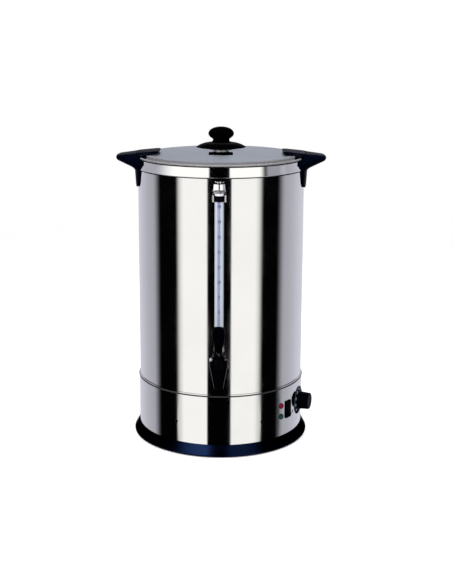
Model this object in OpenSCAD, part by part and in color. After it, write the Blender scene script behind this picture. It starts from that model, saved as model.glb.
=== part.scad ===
// Hot water urn: polished steel tank with a sight gauge above a lever tap, a lift-off lid,
// two moulded side handles, and a heater, thermostat and switches in the lower housing.
// The axis of the tank is Z, the counter is z = 0, and the tap faces -Y.

/* [Tank] */
// Outside diameter of the tank
tank_d = 300; // [280:1:330]
// Thickness of the tank's steel
tank_wall = 0.8; // [0.6:0.1:1.2]
// Height of the rim above the counter
rim_z = 513; // [490:1:540]
// Height of the tank's floor above the counter
floor_z = 124; // [119:1:132]

/* [Collar] */
// Height of the collar that stiffens the rim
collar_h = 19; // [14:0.5:19]
// Thickness of the collar
collar_wall = 1.3; // [0.8:0.1:2]
// Radius of the rolled edges on the collar and on the housing
bead_r = 1.1; // [0.8:0.1:1.6]

/* [Lower housing] */
// Height of the top of the steel housing
band_top = 113; // [110:1:118]
// Thickness of the housing's steel
band_wall = 0.8; // [0.6:0.1:1.2]
// Height of the black base ring
base_h = 21; // [18:0.5:26]
// How far the base ring flares out at its foot
base_flare = 9.8; // [6:0.2:14]
// Width of the ledge inside the base ring
base_ledge_w = 12; // [10:0.5:16]
// Thickness of the base plate
base_plate_t = 1; // [0.8:0.1:2]
// How far the rubber foot ring stands out below the base ring
foot_stand = 1.5; // [1:0.1:3]
// Width of the rubber foot ring
foot_w = 9; // [6:0.5:9.5]

/* [Lid] */
// Width of the flat rim round the lid's raised panel
lid_ledge = 12; // [10:0.5:16]
// Height of the raised panel above the rim
lid_rise = 6.5; // [4:0.5:9]
// Thickness of the lid's steel
lid_wall = 0.8; // [0.6:0.1:1.2]
// Radius of the lid's rolled edge
lid_bead_r = 1.75; // [1.2:0.05:2]

/* [Lid knob] */
// Radius of the knob's skirt
skirt_r = 44.8; // [36:0.2:52]
// Radius of the knob's grip
grip_r = 23; // [20:0.2:28]
// Height of the knob above its steel spacer
knob_h = 38.7; // [36:0.2:46]
// Height of the steel spacer under the knob
spacer_h = 5.5; // [5:0.5:10]
// Radius of the steel spacer
spacer_r = 15; // [14:0.5:19]
// Radius of the foot under the spacer
knob_foot_r = 22; // [20:0.5:26]
// Thickness of the foot under the spacer
knob_foot_t = 4; // [2:0.5:5]

/* [Handles] */
// How far a handle reaches from the tank's wall
handle_reach = 39.8; // [36:0.2:48]
// Height of the handle's top face above the rim
handle_rise = 9.2; // [7:0.2:12]
// Half the width of the handle's top face
wing_half = 30; // [26:1:36]
// Half the width of the handle where it hooks round the collar
hook_half = 63; // [56:1:68]
// How far the handle's leg reaches below the rim
leg_drop = 51.5; // [46:0.5:70]
// Thickness of the leg at its root
leg_t = 5.6; // [5:0.2:8]
// Radius of the handle's nose
nose_r = 5; // [4.6:0.2:7]
// How far the lid's lugs reach in over the lid from the handle
lug_reach = 40; // [36:1:48]

/* [Sight gauge] */
// Outside diameter of the glass tube
tube_d = 15.4; // [13:0.2:16]
// Wall of the glass tube
tube_wall = 2; // [1.5:0.1:3]
// Distance of the tube's axis from the tank's wall
gauge_off = 13; // [12:0.5:14]
// Height of the glass tube's top end above the counter
tube_top = 461; // [440:1:470]

/* [Tap] */
// Height of the tap's shank above the counter
tap_z = 160; // [156:1:164]
// Distance of the tap's valve axis from the tank's wall
valve_off = 40; // [40:0.5:44]
// Radius of the tap's shank
shank_r = 11; // [10:0.5:12]
// Radius of the bore through the shank
shank_bore_r = 6; // [4:0.5:7]
// Radius of the tap's bonnet
bonnet_r = 15.6; // [14:0.2:16]
// Radius of the spout's outlet
outlet_r = 5; // [4:0.5:6]
// Height of the lever above its pin
lever_h = 44; // [34:1:46]
// Half the width of the lever's paddle
paddle_half = 11; // [9:0.5:13]
// How far the lever's cam is off its pin
cam_off = 5; // [4:0.25:5]

/* [Controls] */
// Height of the dial's axis
dial_z = 71.3; // [70:0.5:74]
// Angle of the dial round the housing from the tap
dial_az = 70.6; // [70:0.5:84]
// Radius of the dial's numbered skirt
dial_r = 25.6; // [22:0.2:26]
// Length of the dial's grip
dial_grip_l = 19.5; // [15:0.5:24]
// Radius of the dial's grip
dial_grip_r = 15.8; // [12:0.2:17]
// Angle of the rocker switch round the housing from the tap
rocker_az = 54.6; // [54.2:0.2:57]
// Width of the rocker switch's frame
rocker_w = 15.4; // [15:0.2:19]
// Height of the rocker switch's frame
rocker_h = 31.4; // [31:0.2:34]
// Angle of the two lamps round the housing from the tap
lamp_az = 47; // [38:0.5:47.5]
// Radius of a lamp
lamp_r = 5.2; // [4:0.1:6]
// Distance between the two lamps
lamp_pitch = 20; // [16:0.5:26]

/* [Heater] */
// Diameter of the aluminium heater plate
heater_d = 190; // [160:2:220]
// Thickness of the heater plate
heater_t = 7; // [5:0.5:9]
// Diameter of the element's tube
element_d = 8; // [6:0.5:9]

/* [Hidden] */

$fn = 96;

steel = [0.80, 0.80, 0.82];
black = [0.03, 0.03, 0.035];

// Clearances: a static seat, a running fit on a radius, and a gap between moving faces
seat = 0.1;
run = 0.06;
move_gap = 0.6;

tank_r = tank_d / 2;
tank_inner = tank_r - tank_wall;
collar_r = tank_r + seat + collar_wall;
collar_z = rim_z - collar_h;
band_inner = tank_r + seat + 0.3;
band_r = band_inner + band_wall;

// ---- placing helpers -----------------------------------------------------------------

// Puts a child on the wall: its +Z points outwards, its +Y up and its +X to the right
module outward(az, r, z) {
    rotate([0, 0, az]) translate([0, -r, z]) rotate([90, 0, 0]) children();
}

// A tube between two radii that stands on z
module ring(r_out, r_in, z, h) {
    translate([0, 0, z]) difference() {
        cylinder(r = r_out, h = h);
        translate([0, 0, -1]) cylinder(r = r_in, h = h + 2);
    }
}

// A round bar between two points, with round ends
module bar(p, q, r) {
    d = q - p;
    len = norm(d);
    translate(p) rotate([0, acos(d[2] / len), atan2(d[1], d[0])]) cylinder(r = r, h = len, $fn = 24);
    translate(q) sphere(r = r, $fn = 24);
}

// Points on an elliptic arc, from angle a0 to a1
function arc(c, rx, rz, a0, a1, n) =
    [for (i = [0:n]) let (a = a0 + (a1 - a0) * i / n) [c[0] + rx * cos(a), c[1] + rz * sin(a)]];

// Points mirrored in the vertical axis, in reverse order, so that a half outline closes
function mirrored(pts) = [for (i = [len(pts) - 1:-1:0]) [-pts[i][0], pts[i][1]]];

// A half outline in (x, z), closed by its mirror image and extruded along Y
module front_prism(half, y0, y1) {
    translate([0, y1, 0]) rotate([90, 0, 0]) linear_extrude(y1 - y0)
        polygon(concat(half, mirrored(half)));
}

// An outline in (y, z) extruded along X, both ways from the middle
module side_prism(pts, half_w) {
    translate([-half_w, 0, 0]) rotate([90, 0, 90]) linear_extrude(2 * half_w) polygon(pts);
}

// A pan-head screw that points along -Z with its head above z = 0
module pan_screw(r, l, head_r, head_h) {
    translate([0, 0, -l]) cylinder(r = r, h = l, $fn = 32);
    cylinder(r = head_r, h = head_h * 0.6, $fn = 32);
    translate([0, 0, head_h * 0.6])
        cylinder(r1 = head_r, r2 = head_r * 0.7, h = head_h * 0.4, $fn = 32);
}

// ---- tank -----------------------------------------------------------------------------

shell_foot_z = band_top - 9;
hem_t = 0.8;

handle_screw_z = rim_z - 12;
handle_screw_az = 11;
handle_screw_r = 2.4;
handle_screw_angles = [90 - handle_screw_az, 90 + handle_screw_az,
                       270 - handle_screw_az, 270 + handle_screw_az];

bracket_z = tube_top + 1;
bracket_stud_r = 2.9;

module tank_shell() {
    color(steel) difference() {
        ring(tank_r, tank_inner, shell_foot_z, rim_z - hem_t - shell_foot_z);
        outward(0, tank_r - 10, tap_z) cylinder(r = shank_r + seat, h = 20);
        outward(0, tank_r - 10, bracket_z) cylinder(r = bracket_stud_r + seat, h = 20);
        for (a = handle_screw_angles)
            outward(a, tank_r - 10, handle_screw_z) cylinder(r = handle_screw_r + seat, h = 20);
    }
}

floor_t = 1;
floor_r = tank_inner - seat;
tie_r = 2.9;
tie_ring_r = 118;
tie_angles = [100, 220, 340];

// A pressed floor whose skirt is welded to the foot of the shell
module tank_floor() {
    color(steel) {
        translate([0, 0, floor_z - floor_t]) cylinder(r = floor_r, h = floor_t);
        ring(floor_r, floor_r - floor_t, shell_foot_z, floor_z - floor_t - shell_foot_z);
    }
}

// The collar hugs the shell, rolls over its top edge and ends in a rolled bead
module rim_collar() {
    color(steel) difference() {
        union() {
            ring(collar_r, tank_r + seat, collar_z, collar_h);
            ring(collar_r, tank_inner - 0.3, rim_z - hem_t, hem_t);
            rotate_extrude() translate([collar_r - bead_r * 0.3, collar_z + bead_r]) circle(r = bead_r, $fn = 24);
        }
        ring(tank_r + seat, tank_r - 4, collar_z - 1, collar_h - hem_t + 1 - seat);
        for (a = handle_screw_angles)
            outward(a, tank_r - 10, handle_screw_z) cylinder(r = handle_screw_r + seat, h = 20);
    }
}

// The ring inside the housing on which the tank's skirt stands
support_w = 7;
support_t = 1.5;
support_skirt = 16;
module tank_support_ring() {
    color(steel) {
        ring(band_inner, band_inner - support_w, shell_foot_z - support_t, support_t);
        ring(band_inner, band_inner - support_t, shell_foot_z - support_skirt, support_skirt - support_t);
    }
}

// ---- lower housing --------------------------------------------------------------------

ledge_z = foot_stand + 4.5;
bead_z = band_top - 3;

housing_screw_z = 57.5;
housing_screw_az = 30;
housing_screw_r = 1.9;
housing_screw_angles = [-housing_screw_az, housing_screw_az,
                        180 - housing_screw_az, 180 + housing_screw_az];

gland_z = 40;
gland_r = 8;
bushing_r = 5;
holder_r = 4.3;
lamp_mid_z = 67.3;
rocker_z = 66.8;
switch_body_w = rocker_w - 3.2;
switch_body_h = rocker_h - 3.2;
lamp_zs = [lamp_mid_z + lamp_pitch / 2, lamp_mid_z - lamp_pitch / 2];

module lower_housing() {
    color(steel) difference() {
        union() {
            ring(band_r, band_inner, ledge_z, band_top - ledge_z);
            rotate_extrude() translate([band_r, bead_z]) circle(r = bead_r * 1.6, $fn = 24);
        }
        translate([0, 0, ledge_z + 1]) cylinder(r = band_inner, h = band_top);
        for (z = lamp_zs)
            outward(lamp_az, band_r - 10, z) cylinder(r = holder_r + seat, h = 20);
        outward(dial_az, band_r - 10, dial_z) cylinder(r = bushing_r + seat, h = 20);
        outward(rocker_az, band_r - 10, rocker_z)
            translate([-switch_body_w / 2 - seat, -switch_body_h / 2 - seat, 0])
                cube([switch_body_w + 2 * seat, switch_body_h + 2 * seat, 20]);
        outward(180, band_r - 10, gland_z) cylinder(r = gland_r + seat, h = 20);
        for (a = housing_screw_angles)
            outward(a, band_r - 10, housing_screw_z) cylinder(r = housing_screw_r + seat, h = 20);
    }
}

lip_t = 1;
ring_in = band_r - base_ledge_w;
foot_ring_r = band_r + 1;
foot_sunk = 3;
base_screw_r = 1.9;
base_screw_angles = [0, 90, 180, 270];
base_screw_ring_r = ring_in + 4;

// The flared black ring: a lip outside the housing, a ledge under it and a groove for its foot
module base_ring() {
    flare_r = band_r + seat + lip_t + base_flare - 1.2;
    color(black) difference() {
        rotate_extrude() polygon(concat(
            [[ring_in, foot_stand], [ring_in, ledge_z], [band_r + seat, ledge_z], [band_r + seat, base_h]],
            arc([band_r + seat + lip_t * 0.5, base_h - lip_t * 0.5], lip_t * 0.5, lip_t * 0.5, 90, 20, 4),
            arc([flare_r - 2, foot_stand + 2.5], 2, 2.5, 25, -80, 8)
        ));
        ring(foot_ring_r + foot_w / 2 + seat, foot_ring_r - foot_w / 2 - seat, 0, foot_stand + foot_sunk);
        for (a = base_screw_angles) rotate([0, 0, a]) translate([0, -base_screw_ring_r, 0])
            cylinder(r = base_screw_r + seat, h = ledge_z + 1, $fn = 24);
    }
}

// Rubber ring with rounded lower edges, pressed up into the groove
module foot_ring() {
    edge = foot_w / 2 - 0.8;
    color("dimgray") rotate_extrude() translate([foot_ring_r, 0]) polygon(concat(
        [[foot_w / 2, foot_stand + foot_sunk], [-foot_w / 2, foot_stand + foot_sunk]],
        arc([-edge, 0.8], 0.8, 0.8, 180, 270, 4), arc([edge, 0.8], 0.8, 0.8, 270, 360, 4)));
}

reset_x = 32;
reset_y = 48;
reset_r = 4;
vent_ring_r = 78;
vent_count = 12;

// Base plate with a ring of vent slots, the reset hole, and holes for its rods and screws
module base_plate() {
    color(steel) difference() {
        translate([0, 0, ledge_z]) cylinder(r = band_inner - 0.5, h = base_plate_t);
        translate([reset_x, reset_y, 0]) cylinder(r = reset_r + 0.5, h = 50, $fn = 32);
        for (i = [0:vent_count - 1]) rotate([0, 0, i * 360 / vent_count + 15])
            translate([vent_ring_r, -2, 0]) cube([26, 4, 50]);
        for (a = tie_angles) rotate([0, 0, a]) translate([0, -tie_ring_r, 0])
            cylinder(r = tie_r + seat, h = 50, $fn = 24);
        for (a = base_screw_angles) rotate([0, 0, a]) translate([0, -base_screw_ring_r, 0])
            cylinder(r = base_screw_r + seat, h = 50, $fn = 24);
    }
}

// Screws from above that hold the plate down on the ring's ledge
module base_screws() {
    color("gainsboro") for (a = base_screw_angles) rotate([0, 0, a])
        translate([0, -base_screw_ring_r, ledge_z + base_plate_t])
            pan_screw(base_screw_r, base_plate_t + 3, 3.6, 2.2);
}

// Rods welded under the tank's floor that clamp the housing to the tank
module tie_rods() {
    rod_z = ledge_z - 3;
    color("gainsboro") for (a = tie_angles) rotate([0, 0, a]) translate([0, -tie_ring_r, rod_z])
        cylinder(r = tie_r, h = floor_z - floor_t - rod_z, $fn = 24);
}

module tie_nuts() {
    nut_t = 2.4;
    color("gainsboro") for (a = tie_angles) rotate([0, 0, a]) translate([0, -tie_ring_r, 0]) {
        translate([0, 0, ledge_z + base_plate_t]) hex_nut(4.8, tie_r, nut_t);
        translate([0, 0, ledge_z - nut_t]) hex_nut(4.8, tie_r, nut_t);
    }
}

module hex_nut(r, bore, t) {
    difference() {
        cylinder(r = r, h = t, $fn = 6);
        translate([0, 0, -1]) cylinder(r = bore + run, h = t + 2, $fn = 32);
    }
}

bracket_w = 16;
bracket_t = 1.5;
bracket_top = housing_screw_z + 8;

// Angle brackets on the base plate that the housing is screwed to
module housing_brackets() {
    inner = band_inner - 0.8;
    z0 = ledge_z + base_plate_t;
    color(steel) for (a = housing_screw_angles) rotate([0, 0, a]) difference() {
        union() {
            translate([-bracket_w / 2, -inner, z0]) cube([bracket_w, bracket_t, bracket_top - z0]);
            translate([-bracket_w / 2, -inner, z0]) cube([bracket_w, 14, bracket_t]);
        }
        translate([0, -inner - 5, housing_screw_z]) rotate([-90, 0, 0])
            cylinder(r = housing_screw_r + run, h = 10, $fn = 24);
    }
}

module housing_screws() {
    color("gainsboro") for (a = housing_screw_angles) outward(a, band_r, housing_screw_z)
        pan_screw(housing_screw_r, 6, 3.2, 1.8);
}

// ---- heater and its safety parts --------------------------------------------------------

heater_top = floor_z - floor_t;
heater_z = heater_top - heater_t;
element_ring = 68;
warm_ring = 36;
stub_az = 8;

module heater_plate() {
    color("silver") difference() {
        translate([0, 0, heater_z]) cylinder(r = heater_d / 2, h = heater_t);
        for (r = [element_ring, warm_ring]) rotate_extrude()
            translate([r, heater_z - element_d * 0.25]) circle(r = element_d / 2 + seat, $fn = 24);
    }
}

// A round loop that lies half sunk in the plate and ends in two ferrules with pins
module element_loop(r) {
    z = heater_z - element_d * 0.25;
    rotate([0, 0, stub_az]) rotate_extrude(angle = 360 - 2 * stub_az) translate([r, z])
        circle(r = element_d / 2, $fn = 24);
    for (s = [-1, 1]) rotate([0, 0, s * stub_az]) translate([r, 0, z - 16]) {
        cylinder(r = element_d / 2 + 0.6, h = 16.8, $fn = 32);
        translate([0, 0, -8]) cylinder(r = 1.6, h = 9, $fn = 16);
    }
}

module heating_element() {
    color("dimgray") element_loop(element_ring);
}

module keep_warm_element() {
    color("dimgray") element_loop(warm_ring);
}

shaft_r = 3;
thermo_r = band_r - 4;
thermo_box = [30, 30, 24];

// Thermostat: a boxed switch with a round bushing that passes through the housing
module thermostat() {
    color("tan") outward(dial_az, 0, dial_z) difference() {
        union() {
            translate([-thermo_box[0] / 2, -thermo_box[1] / 2, thermo_r - thermo_box[2]]) cube(thermo_box);
            translate([0, 0, thermo_r - 1]) cylinder(r = bushing_r, h = band_r + 0.4 - thermo_r + 1, $fn = 32);
        }
        translate([0, 0, thermo_r - 18]) cylinder(r = shaft_r + run, h = 60, $fn = 32);
    }
}

// The thermostat's bulb lies against the heater plate and its fine tube runs to the switch
module capillary_bulb() {
    r_end = thermo_r - thermo_box[2];
    bulb_z = heater_z - 3;
    color("peru") {
        rotate([0, 0, dial_az]) {
            bar([-24, -52, bulb_z], [24, -52, bulb_z], 3);
            bar([24, -52, bulb_z], [24, -84, bulb_z - 12], 1);
            bar([24, -84, bulb_z - 12], [0, -r_end + 8, dial_z + 12], 1);
            bar([0, -r_end + 8, dial_z + 12], [0, -r_end + 1, dial_z + 6], 1);
        }
    }
}

cutout_top = 46;
reset_travel = 2;
cutout_z = ledge_z + base_plate_t;

// Cut-out that trips if the tank boils dry, mounted over the reset hole
module cutout_switch() {
    color("ivory") translate([reset_x, reset_y, 0]) difference() {
        union() {
            translate([-18, -13, cutout_z]) cube([36, 26, 2]);
            translate([0, 0, cutout_z + 2]) cylinder(r = 12, h = cutout_top - cutout_z - 2);
        }
        translate([0, 0, cutout_z - 1]) cylinder(r = reset_r + run, h = 13, $fn = 32);
        translate([0, 0, cutout_z + 5]) cylinder(r = reset_r + 2.2, h = 7 + reset_travel, $fn = 32);
    }
}

// Button that is pushed up from below to reset the cut-out
module reset_button() {
    color("firebrick") translate([reset_x, reset_y, 0]) {
        translate([0, 0, ledge_z - 2]) cylinder(r = reset_r, h = cutout_z + 6 - ledge_z + 2, $fn = 32);
        translate([0, 0, cutout_z + 5.3]) cylinder(r = reset_r + 2, h = 2, $fn = 32);
    }
}

block_x = -30;
block_y = band_r - 63;
earth_y = band_r - 51;
way_pitch = 12;

// Three-way terminal block with its wire ways
module terminal_block() {
    color("whitesmoke") translate([block_x, block_y, cutout_z]) difference() {
        translate([-way_pitch * 1.5, -11, 0]) cube([way_pitch * 3, 22, 16]);
        for (i = [-1:1]) {
            translate([i * way_pitch, -12, 8]) rotate([-90, 0, 0]) cylinder(r = 3, h = 24, $fn = 24);
            for (y = [-6, 6]) translate([i * way_pitch, y, 8]) cylinder(r = 2, h = 10, $fn = 24);
        }
    }
}

module earth_stud() {
    color("gold") translate([-block_x, earth_y, cutout_z]) {
        cylinder(r = 2.5, h = 18, $fn = 24);
        cylinder(r = 5, h = 4, $fn = 6);
        translate([0, 0, 4]) cylinder(r = 6, h = 1, $fn = 24);
        translate([0, 0, 5]) cylinder(r = 5, h = 4, $fn = 6);
    }
}

gland_bore_r = 3.75;
gland_out = 17;
gland_in = 9;

// Cable gland at the back of the housing, with a domed cap nut
module cord_gland() {
    color(black) outward(180, band_r, gland_z) difference() {
        union() {
            translate([0, 0, -gland_in]) cylinder(r = gland_r, h = gland_in + 1, $fn = 48);
            cylinder(r = gland_r + 3, h = 3, $fn = 48);
            translate([0, 0, 3]) cylinder(r = gland_r + 2.6, h = 5, $fn = 6);
            translate([0, 0, 8]) cylinder(r1 = gland_r + 1.2, r2 = gland_bore_r + 2, h = gland_out - 8, $fn = 48);
        }
        translate([0, 0, -gland_in - 1]) cylinder(r = gland_bore_r, h = gland_in + gland_out + 2, $fn = 48);
    }
}

module gland_nut() {
    color(black) outward(180, band_inner - 0.6 - 4, gland_z) hex_nut(gland_r + 3.6, gland_r, 4);
}

// ---- controls ---------------------------------------------------------------------------

switch_depth = 18;
frame_t = 2;
well_w = rocker_w - 6;
well_h = rocker_h - 6;
well_depth = 8.5;
pivot_drop = 3;
pivot_r = 1.25;
rocker_tilt = 8;

// Frame and body of the rocker switch, with a well for the rocker and two terminals
module switch_frame() {
    color(black) outward(rocker_az, band_r + 0.02, rocker_z) difference() {
        union() {
            translate([-rocker_w / 2, -rocker_h / 2, 0]) cube([rocker_w, rocker_h, frame_t]);
            translate([-switch_body_w / 2, -switch_body_h / 2, -switch_depth])
                cube([switch_body_w, switch_body_h, switch_depth + 0.5]);
            for (y = [-7, 7]) translate([-2.4, y - 0.4, -switch_depth - 8]) cube([4.8, 0.8, 8.5]);
        }
        translate([-well_w / 2, -well_h / 2, frame_t - well_depth]) cube([well_w, well_h, well_depth + 1]);
        translate([-well_w / 2 - 1.4, 0, frame_t - pivot_drop]) rotate([0, 90, 0])
            cylinder(r = pivot_r + run, h = well_w + 2.8, $fn = 24);
    }
}

// The rocker: two faces that meet in a shallow V, on a pair of pivot pins
module switch_rocker() {
    w = well_w / 2 - 0.35;
    l = well_h / 2 - 1.1;
    color(black) outward(rocker_az, band_r + 0.02, rocker_z) translate([0, 0, frame_t - pivot_drop])
        rotate([-rocker_tilt, 0, 0]) {
            side_prism([[-l, 4.9], [0, 3.6], [l, 4.9], [l - 0.4, 0.5], [3.5, -3], [-3.5, -3], [0.4 - l, 0.5]], w);
            rotate([0, 90, 0]) translate([0, 0, -w - 1.2]) cylinder(r = pivot_r, h = 2 * w + 2.4, $fn = 24);
        }
}

// A domed lens on a flat collar
module lamp_lens(z) {
    dome = 2.6;
    outward(lamp_az, band_r + 0.02, z) rotate_extrude($fn = 48)
        polygon(concat([[0, 0], [lamp_r, 0]], arc([0, 1], lamp_r, dome, 0, 90, 10)));
}

module lamp_lens_red() {
    color([0.75, 0.05, 0.12]) lamp_lens(lamp_zs[0]);
}

module lamp_lens_green() {
    color([0.05, 0.45, 0.22]) lamp_lens(lamp_zs[1]);
}

module lamp_holders() {
    color(black) for (z = lamp_zs) outward(lamp_az, band_r, z) {
        translate([0, 0, -22]) cylinder(r = holder_r, h = 22, $fn = 32);
        translate([0, 0, -band_wall - 0.6 - 4]) cylinder(r = 7.5, h = 4, $fn = 6);
        for (x = [-1.8, 1.8]) translate([x - 0.4, -1.4, -29]) cube([0.8, 2.8, 8]);
    }
}

dial_back = band_r + 1.1;
dial_skirt_t = 2.6;
flute_count = 20;

// Dial: a thin numbered skirt and a fluted grip, bored for the shaft
module dial_knob() {
    color(black) outward(dial_az, dial_back, dial_z) difference() {
        union() {
            rotate_extrude() polygon([[0, 0], [dial_r, 0], [dial_r, 0.9], [dial_r - 1.4, dial_skirt_t],
                                      [0, dial_skirt_t]]);
            rotate_extrude() polygon(concat([[0, 1], [dial_grip_r, 1]],
                arc([dial_grip_r - 2.4, dial_skirt_t + dial_grip_l - 1.4], 1.4, 1.4, 0, 90, 6),
                [[0, dial_skirt_t + dial_grip_l]]));
        }
        translate([0, 0, -1]) cylinder(r = shaft_r, h = dial_grip_l, $fn = 32);
        for (i = [0:flute_count - 1]) rotate([0, 0, i * 360 / flute_count])
            translate([dial_grip_r + 0.7, 0, dial_skirt_t + 2.5]) cylinder(r = 1.5, h = dial_grip_l, $fn = 16);
    }
}

module dial_shaft() {
    shaft_l = dial_back + dial_grip_l - 1 - (thermo_r - 17);
    color("gainsboro") outward(dial_az, thermo_r - 17, dial_z) cylinder(r = shaft_r, h = shaft_l, $fn = 32);
}

// ---- handles ------------------------------------------------------------------------------

handle_top = rim_z + handle_rise;
lid_r = collar_r + 0.4;
wing_in = lid_r + move_gap;
nose_x = tank_r + handle_reach - nose_r;
nose_z = rim_z;
leg_z = rim_z - leg_drop;

// A point at a half-width round a radius
function round_point(r, half, z) = [sqrt(r * r - half * half), half, z];

// The wing: a wedge from the nose to the collar that spreads into two hooks
module handle_wing() {
    hook = round_point(collar_r + 3, hook_half, rim_z - 4);
    hull() {
        translate([nose_x, 0, nose_z]) sphere(r = nose_r, $fn = 24);
        for (s = [-1, 1]) {
            translate([nose_x - 3, s * (wing_half - 8), nose_z]) sphere(r = nose_r, $fn = 24);
            translate([wing_in - 2, s * (wing_half - 1.5), handle_top - 1.5]) sphere(r = 1.5, $fn = 16);
            translate([hook[0], s * hook[1], hook[2]]) sphere(r = 1.5, $fn = 16);
            translate([hook[0] + 1, s * (hook[1] - 6), hook[2] - 9]) sphere(r = 1.5, $fn = 16);
            translate([tank_r + leg_t - 2, s * 34, rim_z - 17.5]) sphere(r = 1.5, $fn = 16);
        }
    }
}

// The leg: a saddle plate that wraps the tank, thinner and narrower towards its round foot
module handle_leg() {
    half = [[0, leg_z - 1], [28, leg_z - 1], [35, leg_z + 2.5], [40, leg_z + 8], [43, leg_z + 14],
            [48, rim_z - 19], [hook_half - 7, rim_z - 12], [hook_half, rim_z - 5], [0, rim_z - 5]];
    intersection() {
        rotate_extrude() polygon(concat([[tank_r - 1, rim_z - 5], [tank_r - 1, leg_z]],
            arc([tank_r + 1.4, leg_z + 2], 2, 2, -90, 0, 6),
            [[tank_r + leg_t - 1.6, leg_z + 16], [tank_r + leg_t - 0.4, rim_z - 19], [tank_r + leg_t, rim_z - 5]]));
        rotate([0, 0, 90]) front_prism(half, -tank_r - 40, -tank_r / 2);
    }
}

module handle() {
    core_top = handle_top - 5;
    difference() {
        union() {
            handle_wing();
            handle_leg();
        }
        translate([0, 0, leg_z - 5]) cylinder(r = tank_r + seat, h = leg_drop + 30);
        translate([0, 0, collar_z - 0.4]) cylinder(r = collar_r + bead_r, h = collar_h + 30);
        translate([0, 0, rim_z]) cylinder(r = wing_in, h = 30);
        for (y = [-13, 0, 13]) translate([0, y, 0]) rotate([90, 0, 0]) translate([0, 0, -4.5])
            linear_extrude(9) polygon([[tank_r + 13, core_top], [nose_x - 6, core_top - 2],
                                       [nose_x - 6, rim_z - 40], [tank_r + 13, rim_z - 40]]);
        for (s = [-1, 1]) outward(90 + s * handle_screw_az, tank_r - 1, handle_screw_z)
            cylinder(r = handle_screw_r + seat, h = 14, $fn = 32);
    }
}

module handle_left() {
    color(black) rotate([0, 0, 180]) handle();
}

module handle_right() {
    color(black) handle();
}

// Screws from inside the tank, each with a sealing washer under its head
module handle_screws() {
    color("gainsboro") for (a = handle_screw_angles)
        rotate([0, 0, a]) translate([0, -(tank_inner - 1.2), handle_screw_z]) rotate([-90, 0, 0]) {
            pan_screw(handle_screw_r, 13, 4.6, 3);
            translate([0, 0, -0.9]) cylinder(r = 5.4, h = 0.9, $fn = 32);
        }
}

// ---- sight gauge ----------------------------------------------------------------------------

gauge_r = tank_r + gauge_off;
tube_r = tube_d / 2;
socket_r = 10.9;
socket_top = tap_z + 32;
seal_t = 1.6;
tube_foot = tap_z + 20;
upper_seal_r = tube_r + 0.6;
upper_seal_h = 9.9;
upper_seal_z = tube_top - 4;
fitting_z = upper_seal_z + upper_seal_h;
fitting_h = 22.3;
fitting_r = 11.1;

module on_gauge() {
    translate([0, -gauge_r, 0]) children();
}

module gauge_tube() {
    color([0.8, 0.85, 0.95]) on_gauge() ring(tube_r, tube_r - tube_wall, tube_foot, tube_top - tube_foot);
}

// Rubber sleeve between the glass and the tap's socket, with a flange on top
module gauge_lower_seal() {
    color("dimgray") on_gauge() {
        ring(tube_r + seal_t, tube_r + seat / 2, tube_foot, socket_top - tube_foot);
        ring(socket_r, tube_r + seat / 2, socket_top, 2);
    }
}

module gauge_upper_seal() {
    color(black) on_gauge() {
        ring(upper_seal_r, tube_r + seat / 2, upper_seal_z, tube_top - upper_seal_z);
        ring(upper_seal_r, tube_r - tube_wall, tube_top, fitting_z - tube_top);
    }
}

slot_w = 1.5;
vent_r = 2.5;

// The chrome head: tapered in and out, with a slot down its front and a vent bore
module gauge_top_fitting() {
    z0 = fitting_z;
    color(steel) on_gauge() difference() {
        rotate_extrude() polygon([[0, z0], [7.8, z0], [7.8, z0 + 4.6], [9.2, z0 + 5.4], [fitting_r, z0 + 7.3],
            [fitting_r, z0 + 8.5], [fitting_r - 2.3, z0 + 9.8], [fitting_r - 2.7, z0 + 12],
            [fitting_r - 3.4, z0 + fitting_h - 1.2], [fitting_r - 4, z0 + fitting_h], [0, z0 + fitting_h]]);
        translate([0, 0, z0 - 1]) cylinder(r = vent_r, h = fitting_h - 5, $fn = 32);
        translate([-slot_w / 2, -fitting_r - 2, z0 + 10.6]) cube([slot_w, 9, fitting_h]);
        translate([4, -fitting_r - 1, z0 + 7.9]) rotate([-90, 0, 0]) cylinder(r = 1.1, h = 5, $fn = 24);
    }
}

// A small castellated cap on the head
module gauge_cap() {
    cap_z = fitting_z + fitting_h;
    color(steel) on_gauge() difference() {
        translate([0, 0, cap_z]) cylinder(r = 6.9, h = 2.7, $fn = 48);
        for (i = [0:7]) rotate([0, 0, i * 45]) translate([3.6, -1.1, cap_z + 0.8]) cube([6, 2.2, 4]);
    }
}

arm_x = upper_seal_r + seat;
arm_t = 3.6;
arm_z0 = upper_seal_z - 0.5;
arm_h = fitting_z + 1.7 - arm_z0;

// Chrome clip: two arms beside the seal, a bridge behind it and a stud through the tank
module gauge_bracket() {
    color(steel) {
        for (s = [-1, 1]) translate([s * (arm_x + arm_t / 2), -gauge_r - 5 + arm_t / 2, arm_z0]) {
            cylinder(r = arm_t / 2, h = arm_h, $fn = 32);
            translate([-arm_t / 2, 0, 0]) cube([arm_t, gauge_off + 5 - 1.2 - arm_t / 2, arm_h]);
        }
        translate([-arm_x - arm_t, -tank_r - 3.8, arm_z0]) cube([2 * (arm_x + arm_t), 2.6, arm_h]);
        outward(0, tank_inner - 9, bracket_z) cylinder(r = bracket_stud_r, h = 12, $fn = 32);
        outward(0, tank_inner - 6, bracket_z) cylinder(r = 5.6, h = 5.5, $fn = 6);
    }
}

// ---- tap --------------------------------------------------------------------------------------

valve_r = tank_r + valve_off;
spout_z = tap_z - 21.6;
body_top = tap_z + 16;
seat_z = tap_z - 8;
chamber_r = 9;
bonnet_top = body_top + 20;
stem_r = 3;
pin_z = bonnet_top + 9;
pin_r = 1.5;
cam_r = pin_z - bonnet_top - 0.1;
tap_flange_t = 4;
washer_t = gauge_off - socket_r - seat;
washer_r = 17;

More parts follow.
